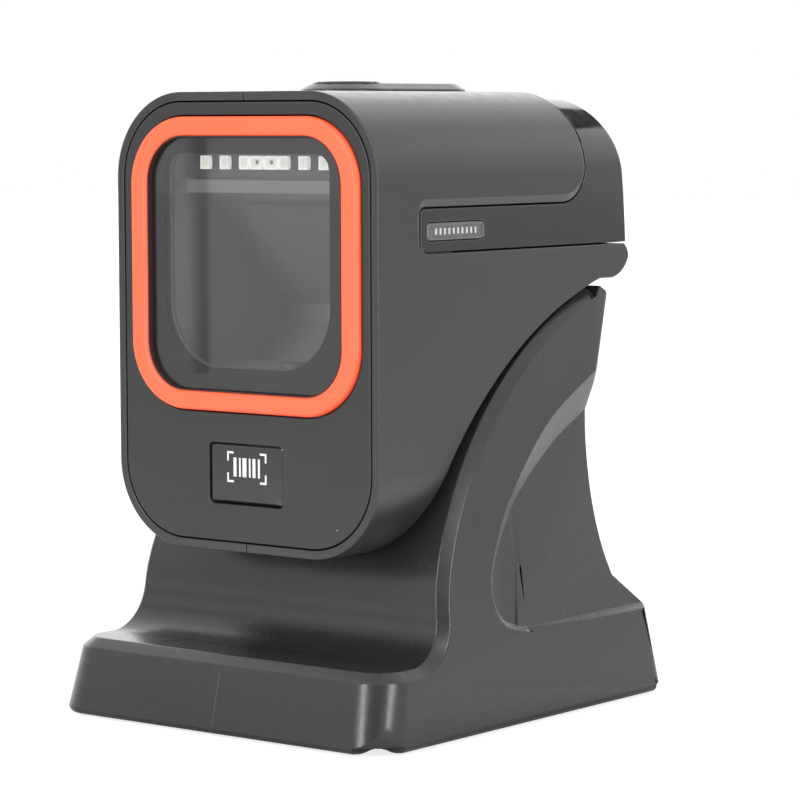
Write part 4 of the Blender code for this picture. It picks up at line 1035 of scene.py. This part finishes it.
def build_front():
    """Panel, orange ring, window and printed mask."""
    panel = soft_plate([(PANEL, PANEL_CORNER), (grown(RING_OUTER, GAP), RING_OUTER_CORNER + GAP),
                        (grown(BADGE, GAP), BADGE_CORNER + GAP)], "XZ", HEAD_FRONT, PANEL_BACK, 0.3)
    piece("front_plate", panel, "panel", ["front_panel"])
    ring = band((RING_OUTER, RING_OUTER_CORNER), (RING_INNER, RING_INNER_CORNER), RING_FRONT, PANEL_BACK, 1.1)
    piece("ring_orange", ring, "orange", ["accent_ring"])
    # A dark red band just inside the ring's inner edge: painted shade, the orange of the ring's inner wall as it
    # looks in shadow.
    inner = grown(RING_INNER, -0.02)
    wall_shade_band = band((inner, RING_INNER_CORNER - 0.02), (grown(inner, -0.22), RING_INNER_CORNER - 0.24),
                 RING_FRONT + 0.5, PANEL_BACK, 0.05, 2)
    piece("ring_wall_painted_shade", wall_shade_band, "wall_shade_band")
    pane = soft_plate([(grown(RING_INNER, -GAP), RING_INNER_CORNER - GAP)], "XZ", WINDOW_FRONT, PANEL_BACK, 0.2)
    piece("window_pane", pane, "window", ["scan_window"])
    sheet = (grown(RING_INNER, -GAP - 0.05), RING_INNER_CORNER - GAP - 0.05)
    mask = soft_plate([sheet, (MASK_OPENING, MASK_OPENING_CORNERS)], "XZ", WINDOW_FRONT + 0.05,
                      WINDOW_FRONT + 0.2, 0.03)
    piece("window_border", mask, "print", ["window_mask"])
    opening = (grown(MASK_OPENING, -0.1), tuple(c - 0.1 for c in MASK_OPENING_CORNERS))
    surround = soft_plate([(grown(RING_OUTER, -1.0), RING_OUTER_CORNER - 1.0), opening], "XZ", PANEL_BACK + GAP,
                          FRAME_REAR, 0.3)
    piece("window_frame", surround, "frame")


def build_window_inside():
    """What shows through the window: light packages, a ledge under them and the slanted mirror."""
    bodies, gels, dies = [], [], []
    low, high = LED_HEIGHT - LED_HALF_HEIGHT, LED_HEIGHT + LED_HALF_HEIGHT
    for x, half in LED_ROW:
        body = ((x - half, x + half, low, high), 0.15)
        cup = ((x - half + 0.35, x + half - 0.35, low + 0.4, high - 0.4), 0.45)
        bodies.append(soft_plate([body, cup], "XZ", LED_FRONT, LED_BACK, 0.1, 2, 4))
        gels.append(soft_plate([cup], "XZ", LED_FRONT + 0.15, LED_BACK, 0.05, 1, 4))
        for side in (-1, 1):
            bodies.append(block((x + side * half, LED_FRONT + 0.6, LED_HEIGHT - 1.0),
                                (x + side * (half + 0.12), LED_BACK, LED_HEIGHT + 1.0)))
        if half > 1.5:
            dies.append(block((x - 0.1, LED_FRONT + 0.05, LED_HEIGHT - 0.35),
                              (x + 0.7, LED_FRONT + 0.3, LED_HEIGHT + 0.5)))
    piece("led_bodies", joined(bodies), "led",
          [f"led_{i + 1}" for i in range(len(LED_ROW))])
    piece("led_gels", joined(gels), "gel")
    piece("led_dies", joined(dies), "die")
    ledge = block((-TUNNEL_HALF_WIDTH, LED_BACK + 0.3, LEDGE[0]), (TUNNEL_HALF_WIDTH, LED_BACK + 2.3, LEDGE[1]))
    piece("tunnel_ledge", ledge, "ledge", edge=0.3)
    start, end = (Vector((0.0, *point)) for point in SLOPE)
    along = (end - start).normalized()
    inward = Vector((0.0, along.z, -along.y))
    rings = []
    for inset_top, inset, height in ((0.0, 0.0, -0.7), (0.0, 0.0, 0.35), (2.3, 0.5, 0.7)):
        wide, top, low = MIRROR_HALF_WIDTH - inset, inset_top - MIRROR_HALF_LENGTH, MIRROR_HALF_LENGTH - inset
        corners = ((-wide, top), (wide, top), (wide, low), (-wide, low))
        place = start.lerp(end, MIRROR_PLACE) + inward * (MIRROR_OFF_SLOPE + height)
        rings.append([place + Vector((x, 0.0, 0.0)) + along * y for x, y in corners])
    piece("mirror_plate", lofted(rings), "mirror", ["fold_mirror"])


def build_badge():
    """A recessed glossy pillow plate with a generic scan mark on it."""
    low_x, high_x, low_z, high_z = BADGE
    rows, columns = 28, 44
    bm = bmesh.new()
    grid = []
    for j in range(rows + 1):
        z = low_z + (high_z - low_z) * j / rows
        row = []
        for i in range(columns + 1):
            x = low_x + (high_x - low_x) * i / columns
            across = abs(2 * (x - low_x) / (high_x - low_x) - 1)
            arch = low_z + BADGE_BEVEL * (1 - across ** 6)
            drop = max(arch - z, 0.0) / BADGE_BEVEL * BADGE_SLOPE
            edge = min(x - low_x, high_x - x, high_z - z, z - low_z)
            drop += 0.30 * (1 - min(edge / 0.45, 1.0)) ** 2
            row.append(bm.verts.new(Vector((x, BADGE_FRONT + drop, z)) * MM))
        grid.append(row)
    for a, b in zip(grid, grid[1:]):
        for i in range(columns):
            bm.faces.new((a[i], a[i + 1], b[i + 1], b[i]))
    border = [*grid[0], *(row[-1] for row in grid[1:]), *reversed(grid[-1][:-1]),
              *(row[0] for row in reversed(grid[1:-1]))]
    rear = [bm.verts.new(Vector((v.co.x, PANEL_BACK * MM, v.co.z))) for v in border]
    skin(bm, [border, rear])
    bm.faces.new(rear)
    piece("badge_pillow", mesh_from(bm), "gloss", ["badge_plate"])
    held = []
    front, back = BADGE_FRONT - 0.03, BADGE_FRONT + 0.1
    for x, half, low, high in MARK_BARS:
        held.append(block((x - half, front, low), (x + half, back, high)))
    for side in (1, -1):
        for z_edge, z_in in ((MARK_HIGH, -1), (MARK_LOW, 1)):
            x = side * MARK_HALF_WIDTH
            held.append(block((x, front, z_edge), (x - side * 0.5, back, z_edge + z_in * 2.2)))
            held.append(block((x - side * 0.5, front, z_edge), (x - side * 2.0, back, z_edge + z_in * 0.5)))
    piece("badge_mark", joined(held), "silver")


def build_status_lights():
    """Frosted light bars: a framed lens with a row of upright bars under its face."""
    low_y, high_y, low_z, high_z = STATUS_LENS
    for side, label in SIDES:
        frame_box = (STATUS_LENS, STATUS_LENS_CORNER)
        sunk = ((low_y + 1.6, high_y - 0.9, low_z + 0.7, high_z - 0.7), 0.5)
        lens = soft_plate([frame_box], "YZ", side * LENS_FACE, side * LENS_BACK, 0.5)
        tray = plate([rounded_box(*sunk, 8)], "YZ", *sorted((side * (LENS_FACE - 0.25), side * (LENS_FACE + 1.0))))
        piece(f"status_light_{label}", carved(lens, cut=[tray]), "lens",
              [f"status_lens_{label}"], edge=0.12, segments=2)
        places = [BAR_FIRST + BAR_PITCH * i for i in range(BAR_COUNT)]
        bars = [soft_plate([((y - BAR_HALF, y + BAR_HALF, *BAR_SPAN), 0.08)], "YZ", side * (LENS_FACE - 0.17),
                           side * (LENS_FACE - 0.35), 0.04, 1, 2) for y in places]
        piece(f"status_bars_{label}", joined(bars), "bars")


def build_top():
    """The raised pad and the round button at its front end."""
    box = (-PAD_HALF_WIDTH, PAD_HALF_WIDTH, PAD_FRONT, PAD_REAR)
    levels = ((0.0, HEAD_HIGH + 0.1), (0.0, 147.9), (0.25, 148.2), (2.2, 149.3), (2.5, 149.45), (2.9, PAD_TOP))
    rings = []
    for inset, z in levels:
        rings.append([(x, y, z) for x, y in rounded_box(grown(box, -inset), PAD_HALF_WIDTH - inset - 0.01, 32)])
    piece("top_pad_raised", carved(lofted(rings), cut=[button_well()]), "panel", ["top_pad"],
          edge=0.12, segments=2)
    r = BUTTON_RADIUS
    dish = [(0.0, 144.3), (2.5, 144.3), (2.5, 145.9), (r, 145.9), (r, 149.2), (r - 0.15, 149.6), (r - 0.5, 149.9),
            (r - 1.0, BUTTON_TOP), (r - 1.6, 149.95), (r - 2.4, 149.8), (4.0, 149.62), (2.0, 149.56), (0.0, 149.55)]
    piece("top_button_cap", turned(dish, BUTTON_Y), "gloss", ["top_button"], "button")


# ---- all of it

NODE_FINISH = {"led_board": "backing", "light_tunnel": "inner", "cable_jack": "print", "main_board": "board",
               "button_board": "board", "interface_board": "board", "hinge_pin": "steel", "tilt_bracket": "steel",
               "tact_switch": "steel", "ballast_weight": "steel", "base_bottom_plate": "base",
               "engine_lens": "backing", "buzzer": "panel"}
NODE_FINISH_BY_PREFIX = {"rubber_foot": "rubber", "friction_washer": "rubber", "base_screw": "steel",
                         "bracket_screw": "steel", "pin_clip": "steel", "status_light_board": "board"}


def dress_nodes():
    """The CAD nodes that stay in view keep their shapes and take patterned finishes by slot."""
    for name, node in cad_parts.items():
        by_prefix = NODE_FINISH_BY_PREFIX.get(name.rsplit("_", 1)[0], "inner")
        for slot in node.material_slots:
            slot.material = finishes[NODE_FINISH.get(name, by_prefix)]


def make_finishes():
    plain = {"Specular_IOR_Level": 0.45}
    return {
        "base": moulded("base_abs", BLACK, 0.27, 0.40, 0.20, **plain),
        "head": moulded("head_abs", (0.016, 0.016, 0.0165), 0.31, 0.35, 0.18, **plain),
        "gloss": moulded("gloss_abs", BLACK, 0.07, 0.60, 0.02, worn_and_edge_highlight=0.2),
        "panel": moulded("panel_abs", BLACK, 0.33, 0.28, 0.10, **plain),
        "seam": moulded("seam_abs", (0.045, 0.045, 0.046), 0.30, 0.30, 0.05, dust=0.0),
        # Painted light: the grey plastics inside the head glow, each by its own amount, standing in for how the light
        # through the window falls on each.
        "inner": pale("inner_abs", 0.20, 0.042),
        "ledge": pale("ledge_abs", 0.20, 0.030),
        "backing": pale("led_backing", 0.10, 0.030),
        "frame": pale("window_frame", 0.10, 0.040),
        "print": moulded("black_ink", (0.006,) * 3, 0.35, 0.30, 0.05, dust=0.0, worn_and_edge_highlight=0.1),
        # Painted shade: the dark red of the ring's orange inner wall in shadow.
        "wall_shade_band": moulded("ring_wall_painted_shade_abs", (0.030, 0.008, 0.007), 0.45, 0.30, 0.05, dust=0.0, worn_and_edge_highlight=0.1),
        "rubber": moulded("rubber", (0.018,) * 3, 0.80, 0.60, 0.4, dust=0.3),
        "orange": orange_finish(),
        "window": window_finish(),
        "steel": metal_finish("steel", (0.50, 0.50, 0.51), 0.32),
        "silver": metal_finish("silver_print", (0.75, 0.75, 0.75), 0.35),
        # Painted light: the mirror glows though it is no lamp.
        "mirror": glowing(moulded("mirror_glass", (0.17,) * 3, 0.20, 0.80, 0.02, dust=0.0, worn_and_edge_highlight=0.0), WHITE, 0.045),
        "board": board_finish(),
        # Painted light: the light packages' bodies and gels glow, their dies do not.
        "led": glowing(lens_finish("led_white", (0.80, 0.80, 0.78), 0.40), WHITE, 0.50),
        "gel": glowing(lens_finish("led_gel", (0.80, 0.80, 0.72), 0.30), WHITE, 0.36),
        "die": lens_finish("led_die", (0.30, 0.29, 0.28), 0.40),
        "bars": lens_finish("bar_white", (0.42, 0.42, 0.42), 0.40),
        "lens": lens_finish("frosted_lens", (0.075, 0.075, 0.075), 0.30),
    }


build_camera()
build_studio()
finishes = make_finishes()
for build in (dress_nodes, build_base, build_head_shells, build_rear_cover, build_front, build_window_inside,
              build_badge, build_status_lights, build_top):
    build()
